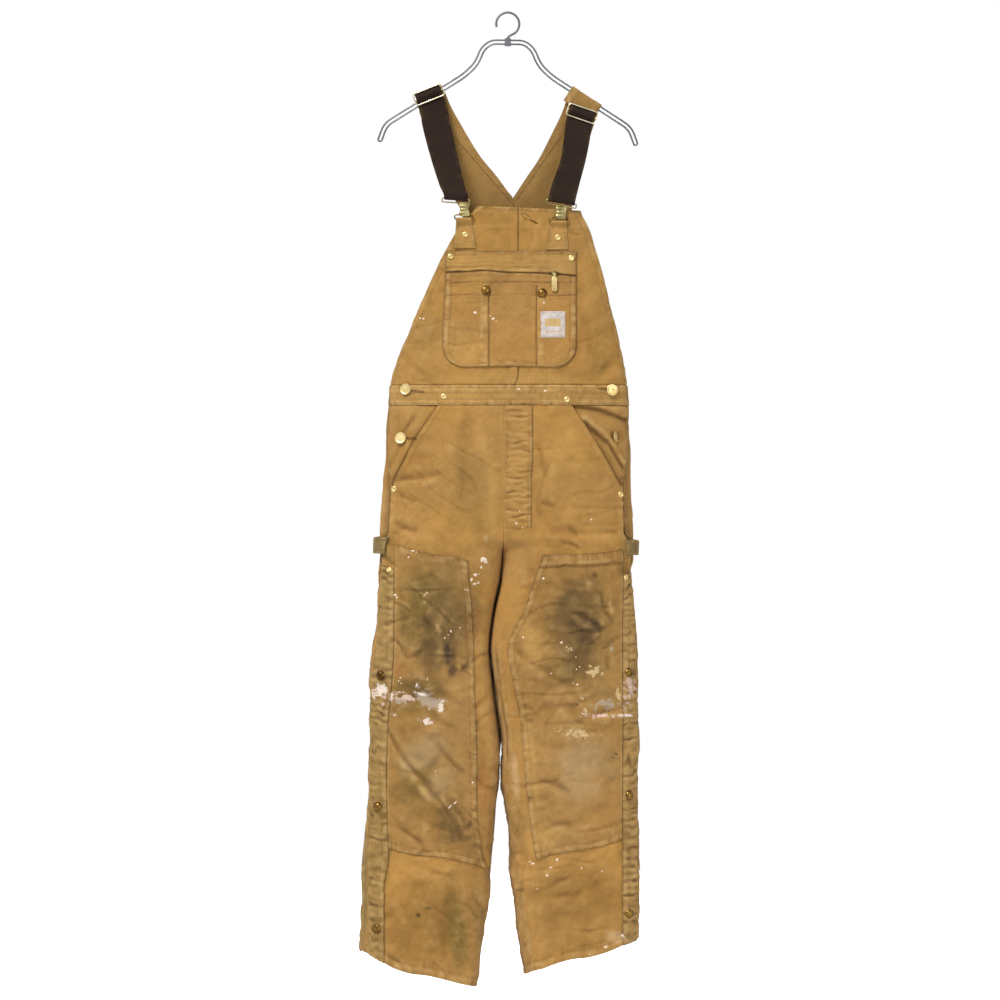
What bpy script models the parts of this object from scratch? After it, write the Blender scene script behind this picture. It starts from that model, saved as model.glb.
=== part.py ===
"""Bib overalls of duck canvas, hanging on a double-wire hanger.

Axes: +Z up, +X to the right seen from the front, the front faces -Y.
The origin is the inner top of the hanger's hook, where a rail carries it.
All sizes below are in millimetres; MM turns them into metres.
"""
import math

import bmesh
import bpy
import numpy as np

MM = 0.001

# ---- cloth --------------------------------------------------------------------------------
CANVAS = 1.6              # wall of a single canvas panel
PATCH_WALL = 1.4          # wall of what is sewn on a panel
SEAM_INSET = 0.16         # each panel stops this far short of its seam line
SKIN_GAP = 0.4            # air between a panel and what lies on it
ROUNDNESS = 3.0           # power of the rounded section: 2 is an ellipse, more is boxier

# One row for each section through the garment, from the bib's top down to the hems.
# out and in are the x of the outer edge and of the centre seam or inseam; back is the
# outer edge of the back bib; open is the angle at which a free side edge stops; front and
# back_depth are how far the cloth stands from the hanger's plane.
SECTION_COLUMNS = ("z", "left_out", "left_back", "left_in", "right_in", "right_back",
                   "right_out", "open", "front", "back_depth")
SECTIONS = (
    (-318, -48, -72, 17, 17, 106, 118, 64, 20, 16),
    (-331, -61, -73, 17, 17, 106, 121, 60, 21, 17),
    (-349, -76, -75, 17, 17, 110, 130, 54, 22, 18.5),
    (-363, -86, -82, 17, 17, 117, 136, 48, 23.5, 20),
    (-384, -98, -96, 17, 17, 133, 142, 42, 25, 22),
    (-400, -107, -106, 17, 17, 142, 147, 37, 26.5, 23.5),
    (-432, -122, -121, 17, 17, 156, 157, 28, 29, 27),
    (-464, -136, -135, 17, 17, 164, 165, 22, 32, 30),
    (-496, -150, -149, 17, 17, 172, 173, 17, 34.5, 33),
    (-528, -165, -164, 17, 17, 181, 182, 13, 37, 36),
    (-560, -179, -179, 17, 17, 189, 189, 9, 39.5, 39),
    (-592, -189, -189, 17, 17, 194, 194, 6, 42, 42),
    (-624, -194, -194, 6, 6, 197, 197, 2, 44, 44.5),
    (-656, -197, -197, -6, -6, 200, 200, 0, 46.5, 48),
    (-720, -200, -200, -6, -6, 201, 201, 0, 50, 52),
    (-784, -205, -205, -6, -6, 203, 203, 0, 52, 56),
    (-848, -209, -209, -7, -7, 205, 205, 0, 51, 54),
    (-885, -211, -211, -8.4, -7.6, 204, 204, 0, 50, 52),
    (-928, -213, -213, -13, -10.6, 203, 203, 0, 48.5, 50),
    (-976, -214, -214, -23.5, -20.5, 208, 208, 0, 47, 48),
    (-1040, -222, -222, -31.5, -28, 211, 211, 0, 46, 46),
    (-1100, -227, -227, -25.5, -22, 214, 214, 0, 46, 45),
    (-1136, -228, -228, -20.5, -17.5, 214, 214, 0, 46, 45),
    (-1200, -229, -229, -14, -9, 214, 214, 0, 45, 44),
    (-1264, -229, -229, -17.5, -8, 214, 214, 0, 44, 43),
    (-1328, -233, -233, -21, 0, 214, 214, 0, 44, 42),
    (-1392, -238, -238, -27, 3, 214, 214, 0, 44, 42),
    (-1456, -241, -241, -32, 10, 214, 214, 0, 44, 43),
    (-1520, -243, -243, -43, 18, 214, 214, 0, 45, 44),
    (-1600, -244, -244, -49, 31, 214, 214, 0, 47, 46),
)
CROTCH_TOP, CROTCH = -855, -885      # the centre seam turns under between these heights

# Guide lines down each leg, as x at a height: the slanted pocket edge, the storm flap's
# two edges and the knee panel's inner edge, which is also the fly's edge on the right.
# seam is the angle of the side seam round from the very side towards the front.
GUIDE_COLUMNS = ("z", "seam", "left_flap_out", "left_flap_in", "left_patch_in",
                 "right_patch_in", "right_flap_in", "right_flap_out")
GUIDES = (
    (-645, 10, -190, -172, -58, 40, 172, 190),
    (-720, 14, -193, -176, -60, 40, 176, 194),
    (-771, 25, -198, -180, -62, 38, 180, 197),
    (-850, 26, -203, -184, -64, 38, 186, 200),
    (-891, 18, -205, -185, -65, 56, 187, 201),
    (-928, 12, -206, -185, -64, 44, 187, 201),
    (-976, 10, -210, -185, -60, 29, 187, 203),
    (-1045, 10, -213, -186, -57, 0, 187, 206),
    (-1101, 10, -221, -189, -55, 10, 187, 209),
    (-1165, 10, -224, -195, -52, 22, 187, 209),
    (-1264, 10, -224, -198, -51, 30, 187, 209),
    (-1314, 10, -226, -197, -51, 35, 187, 209),
    (-1387, 10, -226, -195, -39, 46, 187, 209),
    (-1430, 10, -226, -202, -32, 52, 187, 209),
    (-1600, 10, -226, -202, -60, 60, 187, 209),
)
SLANT = {-1: ((-115, -645), (-149, -696), (-188, -771)),      # pocket mouths, waist to seam
         1: ((105, -645), (141, -701), (186, -778))}

# Heights of the lines across each leg at its outer and inner edge.
LEG_TOP = -645.3
LINES = {-1: {"patch_top": (-863, -911), "patch_bottom": (-1360, -1418), "hem": (-1535, -1598)},
         1: {"patch_top": (-879, -895), "patch_bottom": (-1344, -1401), "hem": (-1518, -1581)}}
THIGH_STEPS = (0, 0.16, 0.32, 0.47, 0.6, 0.72, 0.82, 0.91, 1)
KNEE_ROWS, SHIN_ROWS = 12, 4

# The largest folds: side, face, the ridge's ends, its half width and its height.
FOLDS = (
    (-1, "front", (-182, -1200), (-84, -1350), 20, 4.5),
    (-1, "front", (-130, -1010), (-70, -1120), 26, 3.5),
    (-1, "front", (-176, -800), (-96, -770), 24, 3.5),
    (-1, "front", (-150, -1420), (-90, -1540), 28, 3.0),
    (1, "front", (60, -960), (150, -1010), 26, 4.0),
    (1, "front", (30, -1080), (110, -1180), 28, 4.0),
    (1, "front", (80, -800), (160, -860), 24, 3.5),
    (1, "front", (90, -1400), (130, -1530), 28, 3.0),
    (-1, "back", (-170, -930), (-60, -980), 26, 4.0),
    (-1, "back", (-150, -1250), (-70, -1190), 28, 4.0),
    (1, "back", (170, -950), (50, -1000), 26, 4.0),
    (1, "back", (60, -1200), (150, -1260), 28, 4.0),
)

# ---- bib ----------------------------------------------------------------------------------
BIB_TOP = {-1: (-318, -320), 1: (-326, -320)}      # height at the corner, at the middle seam
BIB_BOTTOM = -611.7
BACK_TOP = -338
WAIST_TOP, WAIST_BOTTOM = -612, -645
ZIP_LINE = ((-102, -428), (-35, -424.5), (0, -428), (61, -429), (112, -434))
BAND_TOP = -392.5
POCKET = {"left": -102, "right": 112, "low_left": -107, "bottom": -582, "corner": 34}
ZIP_TAPE_HEIGHT, ZIP_TAPE_WALL = 4.4, 1.0
LABEL = {"left": 53.5, "right": 93.5, "top": -492, "bottom": -535}

# ---- hanger -------------------------------------------------------------------------------
WIRE = 1.5                 # radius of the hanger's wire
WIRE_SPACING = 7.6         # between the two wires, square to the run
ARM_START, ARM_START_Z = 70, -98
ARM_SLOPE, HANGER_TILT = 0.638, 0.015
HOOK_WIRE, HOOK_INNER = 1.75, 17.0

# Each strap from the back bib up to the hanger: left x, left z, right x, right z, y.
STRAPS = {
    -1: ((-75, -337.7, 8.2, -337.7, 17.5), (-75, -324, 8.2, -318, 16.5),
         (-86, -307, 8.0, -301, 15.5), (-103, -278, -18, -269, 13.5),
         (-119, -240, -45, -234, 11), (-134, -195, -74, -187, 8),
         (-145, -163, -96, -147, 5)),
    1: ((8.8, -337.7, 106, -337.7, 17.5), (8.8, -318, 106, -324, 16.5),
        (9.2, -302, 107, -307, 15.5), (32, -272, 115, -278, 13.5),
        (50, -240, 125, -240, 11), (72, -198, 136, -200, 8),
        (91, -158, 146, -170, 5)),
}
STRAP_ENDS = {-1: (-151, -108), 1: (105, 153)}      # x where each strap crosses the wire
STRAP_WALL, STRAP_AIR = 1.5, 0.4
STRAP_DROP = {-1: 5, 1: 34}                         # how far each hangs down in front

# The brass slides and the elastic webbing below them.
SLIDES = {-1: {"centre": (-130, -134), "tilt": 21.8}, 1: {"centre": (122, -165), "tilt": -19}}
SLIDE = {"width": 52, "height": 22, "bar": 2.0, "side": 3.0, "y": -7.4}
WEBBING = {
    -1: ((-142, -182, -97, -178, -7.5), (-126, -240, -82, -238, -15),
         (-112, -284, -71, -284, -23)),
    1: ((95, -205, 135, -208, -9), (87, -240, 128, -242, -14.5),
        (72, -284, 116, -288, -22.5)),
}
WEBBING_WALL, WEBBING_WIDTH, WEAVE = 1.6, 44, 2.5

# Clasps: the loop that holds the webbing, the body below it, and the tab's ring.
CLASPS = {
    -1: {"loop": (-85, -306.5), "loop_width": 47, "tilt": -4, "body_x": -72, "body_top": -309,
         "ring_x": -72, "ring_z": -333},
    1: {"loop": (88, -311.5), "loop_width": 52, "tilt": -10, "body_x": 88, "body_top": -315,
        "ring_x": 84, "ring_z": -338},
}
CLASP = {"wire": 1.1, "loop_height": 6.8, "body_width": 17, "body_depth": 5.4, "y": -25}
RING = {"width": 30, "height": 7.4, "wire": 1.1}
TABS = {-1: {"top": (-84.5, -59.5), "bottom": (-88, -52), "low": -387.5},
        1: {"top": (71, 96.5), "bottom": (62, 99), "low": -390}}
TAB_WALL, TAB_EYE = 1.3, 3.0

# ---- small metal pieces: x, z -------------------------------------------------------------
RIVETS = {
    "rivet_bib_left": (-94, -401), "rivet_bib_right": (104, -404),
    "rivet_tab_left": (-70, -365), "rivet_tab_right": (82, -370),
    "rivet_waist_left": (-105, -631), "rivet_waist_right": (96, -636),
    "rivet_pocket_left": (-186, -782), "rivet_pocket_right": (185, -791),
    "rivet_flap_left": (-194, -914), "rivet_flap_right": (193, -927),
}
SIDE_BUTTONS = {"button_upper_left": (-167, -625), "button_upper_right": (170, -626),
                "button_lower_left": (-175, -699), "button_lower_right": (176, -696)}
POCKET_SNAPS = {"snap_pocket_left": (-36, -457), "snap_pocket_right": (56, -462)}
FLAP_SNAPS = {"snap_flap_left_1": (-208, -1086), "snap_flap_left_2": (-213, -1301),
              "snap_flap_left_3": (-214, -1500), "snap_flap_right_1": (198, -1082),
              "snap_flap_right_2": (199, -1283), "snap_flap_right_3": (198, -1476)}

# ---- zip pull -----------------------------------------------------------------------------
SLIDER_X = 76
SLIDER = {"width": 9, "height": 8.4, "wall": 2.2, "base": 2.8}
PULL = {"axis_out": 7.5, "bar": 0.75, "hole": 1.2, "eye": 2.1, "eye_width": 4.4,
        "width": 9, "length": 28, "wall": 1.4}

# ---- materials: colour, roughness, metallic -----------------------------------------------
FINISHES = {
    "canvas": ((0.43, 0.24, 0.08, 1), 0.9, 0.0),
    "canvas_dark": ((0.33, 0.18, 0.06, 1), 0.9, 0.0),
    "webbing": ((0.045, 0.026, 0.022, 1), 0.85, 0.0),
    "brass": ((0.72, 0.56, 0.28, 1), 0.32, 1.0),
    "steel": ((0.62, 0.63, 0.65, 1), 0.25, 1.0),
    "label": ((0.62, 0.58, 0.55, 1), 0.8, 0.0),
    "zip": ((0.28, 0.17, 0.07, 1), 0.75, 0.0),
}


# ==== objects and materials ================================================================
def clear_scene():
    for item in list(bpy.data.objects):
        bpy.data.objects.remove(item, do_unlink=True)


def finish(item, kind):
    """Give an object its own Principled material of one kind."""
    colour, roughness, metallic = FINISHES[kind]
    material = bpy.data.materials.new(item.name + "_" + kind)
    material.use_nodes = True
    shader = material.node_tree.nodes["Principled BSDF"]
    shader.inputs["Base Color"].default_value = colour
    shader.inputs["Roughness"].default_value = roughness
    shader.inputs["Metallic"].default_value = metallic
    material.diffuse_color = colour
    item.data.materials.append(material)


def make_object(name, points, faces, kind, origin=(0, 0, 0)):
    """A mesh object from points in millimetres; its faces are turned to point outwards."""
    mesh = bpy.data.meshes.new(name)
    places = (np.asarray(points, float) - np.asarray(origin, float)) * MM
    mesh.from_pydata(places.tolist(), [], [tuple(face) for face in faces])
    shape = bmesh.new()
    shape.from_mesh(mesh)
    if shape.calc_volume(signed=True) < 0:
        bmesh.ops.reverse_faces(shape, faces=shape.faces)
    shape.to_mesh(mesh)
    shape.free()
    item = bpy.data.objects.new(name, mesh)
    item.location = np.asarray(origin, float) * MM
    bpy.context.scene.collection.objects.link(item)
    finish(item, kind)
    return item


def cut_or_join(target, tool, operation):
    """Join a helper solid to the target, or cut it away, by an exact Boolean."""
    tool.hide_render = True
    tool.display_type = "WIRE"
    modifier = target.modifiers.new(operation.lower(), "BOOLEAN")
    modifier.operation = operation
    modifier.solver = "EXACT"
    modifier.object = tool


# ==== grids and walls ======================================================================
def unit(vectors):
    return vectors / np.linalg.norm(vectors, axis=-1, keepdims=True)


def column(table, names, name, heights):
    """Smooth curve through one named column of a table, read at the given heights.

    It turns only at the table's rows, so it never swings past their values.
    """
    rows = np.array(table, float)
    drop = -rows[:, 0]
    values = rows[:, names.index(name)]
    rises = np.diff(values) / np.diff(drop)
    before, after = rises[:-1], rises[1:]
    same_way = before * after > 0
    mean = 2 * before * after / np.where(same_way, before + after, 1)
    slopes = np.concatenate([rises[:1], np.where(same_way, mean, 0), rises[-1:]])
    where = np.clip(-np.asarray(heights, float), drop[0], drop[-1])
    k = np.clip(np.searchsorted(drop, where) - 1, 0, len(drop) - 2)
    step = drop[k + 1] - drop[k]
    t = (where - drop[k]) / step
    return ((1 + 2 * t) * (1 - t) ** 2 * values[k] + t * (1 - t) ** 2 * step * slopes[k]
            + t * t * (3 - 2 * t) * values[k + 1] + t * t * (t - 1) * step * slopes[k + 1])


def section(name, heights):
    return column(SECTIONS, SECTION_COLUMNS, name, heights)


def guide(name, heights):
    return column(GUIDES, GUIDE_COLUMNS, name, heights)


def grid_normals(grid):
    """Unit normals of a grid of points, from the differences along its rows and columns."""
    along = np.gradient(grid, axis=0)
    across = np.gradient(grid, axis=1)
    return unit(np.cross(across, along))


def inset(grid, edges, amount=SEAM_INSET):
    """Draw the named edges of a grid in along the cloth: l, r, t and b."""
    grid = grid.copy()
    pairs = {"l": (np.s_[:, 0], np.s_[:, 1]), "r": (np.s_[:, -1], np.s_[:, -2]),
             "t": (np.s_[0, :], np.s_[1, :]), "b": (np.s_[-1, :], np.s_[-2, :])}
    for edge in edges:
        rim, inside = pairs[edge]
        grid[rim] += unit(grid[inside] - grid[rim]) * amount
    return grid


def wall(name, outer, normals, thickness, kind="canvas"):
    """Closed wall: a grid, the same grid moved in by the thickness, and a strip round the rim.

    Every cell is halved along the same diagonal, so pieces that lie on each other stay parallel.
    """
    rows, cols = outer.shape[:2]
    count = rows * cols
    index = np.arange(count).reshape(rows, cols)
    corners = (index[:-1, :-1], index[:-1, 1:], index[1:, 1:], index[1:, :-1])
    halves = [np.stack([corners[k] for k in pick], -1) for pick in ((0, 1, 2), (0, 2, 3))]
    halves = np.concatenate(halves).reshape(-1, 3)
    rim = np.concatenate([index[0, :], index[1:, -1], index[-1, -2::-1], index[-2:0:-1, 0]])
    following = np.roll(rim, -1)
    strip = np.stack([following, rim, rim + count, following + count], -1)
    points = np.concatenate([outer.reshape(-1, 3), (outer - normals * thickness).reshape(-1, 3)])
    faces = halves.tolist() + (halves[:, ::-1] + count).tolist() + strip.tolist()
    return make_object(name, points, faces, kind)


def tube(name, path, radius, sides, kind, closed=False, turn=0.0):
    """Round wire along a path that lies in a plane facing Y."""
    path = np.asarray(path, float)
    if closed:
        tangent = unit(np.roll(path, -1, 0) - np.roll(path, 1, 0))
    else:
        tangent = unit(np.gradient(path, axis=0))
    up = np.array((0.0, 1.0, 0.0))
    across = unit(np.cross(tangent, up))
    angles = np.arange(sides) / sides * math.tau + turn
    rings = path[:, None] + radius * (across[:, None] * np.cos(angles)[None, :, None]
                                      + up * np.sin(angles)[None, :, None])
    count = len(path)
    index = np.arange(count * sides).reshape(count, sides)
    if closed:
        index = np.vstack([index, index[:1]])
    nearer, farther = index[:-1], index[1:]
    faces = np.stack([nearer, farther, np.roll(farther, -1, 1), np.roll(nearer, -1, 1)], -1)
    faces = faces.reshape(-1, 4).tolist()
    if not closed:
        faces += [index[0].tolist(), index[-1, ::-1].tolist()]
    return make_object(name, rings.reshape(-1, 3), faces, kind)


def turned(name, profile, sides, place, direction, kind):
    """Round piece: a profile of radius and height turned about the direction at a place."""
    profile = np.asarray(profile, float)
    direction = unit(np.asarray(direction, float))
    side = unit(np.cross(direction, (0.0, 0.0, 1.0)))
    up = np.cross(side, direction)
    angles = np.arange(sides) / sides * math.tau
    ring = side * np.cos(angles)[:, None] + up * np.sin(angles)[:, None]
    points = [np.asarray(place) + direction * profile[0, 1]]
    for radius, height in profile[1:-1]:
        points.extend(np.asarray(place) + ring * radius + direction * height)
    points.append(np.asarray(place) + direction * profile[-1, 1])
    last, levels = len(points) - 1, len(profile) - 2
    faces = []
    for k in range(sides):
        after = (k + 1) % sides
        faces.append((0, 1 + after, 1 + k))
        for level in range(levels - 1):
            low, high = 1 + level * sides, 1 + (level + 1) * sides
            faces.append((low + k, low + after, high + after, high + k))
        top = 1 + (levels - 1) * sides
        faces.append((top + k, top + after, last))
    return make_object(name, points, faces, kind)


def block(name, low, high, kind):
    """Plain box between two corners."""
    x0, y0, z0 = low
    x1, y1, z1 = high
    points = [(x, y, z) for x in (x0, x1) for y in (y0, y1) for z in (z0, z1)]
    faces = [(0, 1, 3, 2), (4, 6, 7, 5), (0, 4, 5, 1), (2, 3, 7, 6), (0, 2, 6, 4), (1, 5, 7, 3)]
    return make_object(name, points, faces, kind)


def rod(name, start, end, radius, sides, kind):
    """Straight round bar between two points."""
    start, end = np.asarray(start, float), np.asarray(end, float)
    length = np.linalg.norm(end - start)
    profile = ((0, 0), (radius, 0), (radius, length), (0, length))
    return turned(name, profile, sides, start, end - start, kind)


# ==== the garment's surface ================================================================
def inner_angle(z):
    """Section angle of the inner edge: 90 on the centre seam, 180 on the inseam."""
    t = np.clip((CROTCH_TOP - z) / (CROTCH_TOP - CROTCH), 0, 1)
    return 90 + 90 * t * t * (3 - 2 * t)


def spread(angle):
    """Place across the section, -1 to 1, at an angle in degrees."""
    cosine = np.cos(np.radians(angle))
    return -np.sign(cosine) * np.abs(cosine) ** (2 / ROUNDNESS)


def fold_height(side, face, x, z):
    """Height of the largest folds: soft ridges that fade at both ends."""
    total = np.zeros(np.broadcast(x, z).shape)
    for fold_side, fold_face, start, end, half_width, height in FOLDS:
        if (fold_side, fold_face) != (side, face):
            continue
        run = np.subtract(end, start)
        length = np.hypot(*run)
        t = ((x - start[0]) * run[0] + (z - start[1]) * run[1]) / length ** 2
        off = ((x - start[0]) * run[1] - (z - start[1]) * run[0]) / length
        ends = np.clip(1 - np.abs(2 * t - 1), 0, 1)
        total += height * np.exp(-(off / half_width) ** 2) * ends * ends * (3 - 2 * ends)
    return total


def surface_points(side, angle, z):
    """Points of one half of the garment; angles above 0 are the front, below 0 the back."""
    angle, z = np.broadcast_arrays(np.asarray(angle, float), np.asarray(z, float))
    hand = "left" if side < 0 else "right"
    front = angle >= 0
    outer = np.where(front, section(hand + "_out", z), section(hand + "_back", z))
    inner = section(hand + "_in", z)
    first, last = spread(section("open", z)), spread(inner_angle(z))
    x = outer + (inner - outer) * (spread(np.abs(angle)) - first) / (last - first)
    lift = np.abs(np.sin(np.radians(angle))) ** (2 / ROUNDNESS)
    y_front = -lift * (section("front", z) + lift * fold_height(side, "front", x, z))
    y_back = lift * (section("back_depth", z) + lift * fold_height(side, "back", x, z))
    return np.stack([x, np.where(front, y_front, y_back), z], -1)


def surface(side, angle, z):
    """Points and outward normals, the normals from small steps on the smooth surface."""
    angle, z = np.broadcast_arrays(np.asarray(angle, float), np.asarray(z, float))
    points = surface_points(side, angle, z)
    turn = surface_points(side, angle + 0.6, z) - surface_points(side, angle - 0.6, z)
    rise = surface_points(side, angle, z + 1.0) - surface_points(side, angle, z - 1.0)
    normals = unit(np.cross(turn, rise)) * -side
    return points, normals


def angle_at(side, x, z):
    """Front section angle at which the surface passes a given x."""
    hand = "left" if side < 0 else "right"
    outer, inner = section(hand + "_out", z), section(hand + "_in", z)
    first, last = spread(section("open", z)), spread(inner_angle(z))
    place = first + (last - first) * np.clip((x - outer) / (inner - outer), 0, 1)
    cosine = -np.sign(place) * np.abs(place) ** (ROUNDNESS / 2)
    return np.degrees(np.arccos(np.clip(cosine, -1, 1)))


def front_at(x, z):
    """Points and normals of the front at given x and z, on whichever half they lie."""
    x, z = np.broadcast_arrays(np.asarray(x, float), np.asarray(z, float))
    left = surface(-1, angle_at(-1, x, z), z)
    right = surface(1, angle_at(1, x, z), z)
    on_left = (x < section("left_in", z))[..., None]
    return np.where(on_left, left[0], right[0]), np.where(on_left, left[1], right[1])


def slant_x(side, z):
    """x of the slanted pocket mouth at a height."""
    line = SLANT[side]
    return np.interp(-z, [-point[1] for point in line], [point[0] for point in line])


def between(low, high, count):
    return [low + (high - low) * k / count for k in range(count)]


# ==== legs =================================================================================
def leg_rows(side, fraction):
    """Heights down the leg, at each fraction across it from the outer to the inner edge."""
    lines = LINES[side]
    marks = [np.full_like(fraction, LEG_TOP)]
    for name in ("patch_top", "patch_bottom", "hem"):
        outer, inner = lines[name]
        marks.append(outer + (inner - outer) * fraction)
    heights = [marks[0] + (marks[1] - marks[0]) * step for step in THIGH_STEPS[:-1]]
    heights += between(marks[1], marks[2], KNEE_ROWS)
    heights += between(marks[2], marks[3], SHIN_ROWS)
    heights.append(marks[3])
    return np.array(heights)


FRONT_CELLS = (1, 2, 5, 3)            # cells between the guide lines of a leg's front
FRONT_FRACTIONS = np.array([0, 0.05, 0.1, 0.15, 0.27, 0.39, 0.51, 0.63, 0.75, 0.83, 0.92, 1])
BACK_SHARES = np.array([0, 0.06, 0.14, 0.26, 0.42, 0.58, 0.74, 0.88, 1])
PATCH_ROW, PATCH_END = len(THIGH_STEPS) - 1, len(THIGH_STEPS) - 1 + KNEE_ROWS


def leg_front_angles(side, z):
    """Angles of a leg front's columns, which follow the pocket, flap, patch and inseam."""
    hand = "left" if side < 0 else "right"
    pocket_end = SLANT[side][-1][1]
    outer = guide("seam", z)
    outer = np.where(z > pocket_end, np.maximum(outer, angle_at(side, slant_x(side, z), z)), outer)
    inner = inner_angle(z)
    patch_in = angle_at(side, guide(hand + "_patch_in", z), z)
    flap_out = angle_at(side, guide(hand + "_flap_out", z), z)
    flap_in = angle_at(side, guide(hand + "_flap_in", z), z)
    flap_out = np.maximum(flap_out, outer + 0.06 * (patch_in - outer))
    flap_in = np.maximum(flap_in, outer + 0.24 * (patch_in - outer))
    lines = (outer, flap_out, flap_in, patch_in, inner)
    columns = []
    for k, cells in enumerate(FRONT_CELLS):
        columns += between(lines[k], lines[k + 1], cells)
    columns.append(inner)
    pick = np.arange(z.shape[1])
    return np.array(columns)[pick, :, pick].T


def make_legs():
    """Front and back panel of each leg, with what is sewn on the front."""
    for side, hand in ((-1, "left"), (1, "right")):
        z = leg_rows(side, FRONT_FRACTIONS)
        angle = leg_front_angles(side, z)
        grid, normals = surface(side, angle, z)
        wall("leg_front_" + hand, inset(grid, "lr"), normals, CANVAS)
        make_patch(hand, grid, normals)
        make_flap(hand, grid, normals)
        if side > 0:
            make_fly(grid, normals)
        make_facing(side, hand)
        make_loop(side, hand)

        z = leg_rows(side, BACK_SHARES)
        seam = guide("seam", z)
        angle = seam + (-inner_angle(z) - seam) * BACK_SHARES
        grid, normals = surface(side, angle, z)
        wall("leg_back_" + hand, inset(grid, "lr"), normals, CANVAS)


def sewn_on(name, grid, normals, edges="lrtb", wall_size=PATCH_WALL, gap=SKIN_GAP):
    """A piece that lies on a panel: the panel's own points moved out, drawn in at its edges."""
    outer = inset(grid, edges, 0.3) + normals * (gap + wall_size)
    return wall(name, outer, normals, wall_size)


def make_patch(hand, grid, normals):
    """Double-front knee panel between the flap, the inner seam line and its two hems."""
    rows = np.s_[PATCH_ROW:PATCH_END + 1, 3:9]
    sewn_on("knee_patch_" + hand, grid[rows], normals[rows])


def make_flap(hand, grid, normals):
    """Storm flap over the leg's side zip, from below the hammer loop to the hem."""
    rows = np.s_[PATCH_ROW + 1:, 1:4]
    sewn_on("leg_flap_" + hand, grid[rows], normals[rows], wall_size=1.6)


def make_fly(grid, normals):
    """Fly placket on the right front, from the waistband to just above the crotch."""
    rows = np.s_[0:7, 8:]
    sewn_on("fly_placket", grid[rows], normals[rows])


def make_facing(side, hand):
    """Pocket facing that shows between the slanted mouth and the side seam."""
    top, low = LEG_TOP, SLANT[side][-1][1] + 9
    z = np.linspace(top, low, 6)[:, None] * np.ones(4)
    seam = guide("seam", z)
    mouth = angle_at(side, slant_x(side, z), z)
    angle = seam + (mouth - seam) * np.linspace(0, 1, 4)
    grid, normals = surface(side, angle, z)
    grid = inset(grid, "lr", 0.8) - normals * 0.7
    wall("side_facing_" + hand, grid, normals, 1.2)


def make_loop(side, hand):
    """Hammer loop: a short strap that bulges out round the side seam of the thigh."""
    top, low = (-862, -888) if side < 0 else (-866, -890)
    share = np.linspace(0, 1, 9) * np.ones((2, 1))
    angle = 33 - 75 * share
    z = np.array([[top], [low]]) * np.ones(9)
    grid, normals = surface(side, angle, z)
    bulge = SKIN_GAP + 2.8 + 8 * np.clip(np.sin(np.pi * share), 0, 1)
    wall("hammer_loop_" + hand, grid + normals * bulge[..., None], normals, 1.8)


# ==== waistband and bib ====================================================================
def both_halves(left, right, edges):
    """One grid from a left half and a right half that meet at the middle."""
    grid = np.concatenate([left[0], right[0][:, 1:]], 1)
    normals = np.concatenate([left[1], right[1][:, 1:]], 1)
    return inset(grid, edges), normals


def make_waistband():
    heights = np.array([[WAIST_TOP], [(WAIST_TOP + WAIST_BOTTOM) / 2], [WAIST_BOTTOM]])
    shares = np.array([0, 0.1, 0.2, 0.32, 0.45, 0.6, 0.8, 1])
    seam = guide("seam", heights)
    front = seam + (90 - seam) * shares
    back = seam + (-90 - seam) * np.array([0, 0.06, 0.12, 0.2, 0.32, 0.48, 0.7, 1])
    for name, angle in (("waistband_front", front), ("waistband_back", back)):
        left = surface(-1, angle, heights)
        right = surface(1, angle[:, ::-1], heights)
        grid, normals = both_halves(left, right, "lr")
        wall(name, grid + normals * 0.6, normals, CANVAS + 0.6)


def make_bib():
    """Two front panels joined on the middle seam, and one back panel."""
    steps = np.linspace(0, 1, 10)[:, None]
    for side, hand in ((-1, "left"), (1, "right")):
        corner, middle = BIB_TOP[side]
        across = np.array([0, 0.08, 0.18, 0.3, 0.45, 0.62, 0.8, 1])
        top = corner + (middle - corner) * across
        z = top + (BIB_BOTTOM - top) * steps
        open_angle = section("open", z)
        angle = open_angle + (90 - open_angle) * across
        grid, normals = surface(side, angle, z)
        wall("bib_front_" + hand, inset(grid, "r"), normals, CANVAS)

    shares = np.array([0, 0.08, 0.18, 0.32, 0.5, 0.74, 1])
    z = BACK_TOP + (BIB_BOTTOM - BACK_TOP) * np.linspace(0, 1, 9)[:, None] * np.ones(7)
    open_angle = section("open", z)
    angle = -(open_angle + (90 - open_angle) * shares)
    left = surface(-1, angle, z)
    right = surface(1, angle[:, ::-1], z[:, ::-1])
    grid, normals = both_halves(left, right, "")
    wall("back_bib", grid, normals, CANVAS)


def zip_z(x):
    return np.interp(x, [point[0] for point in ZIP_LINE], [point[1] for point in ZIP_LINE])


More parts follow.
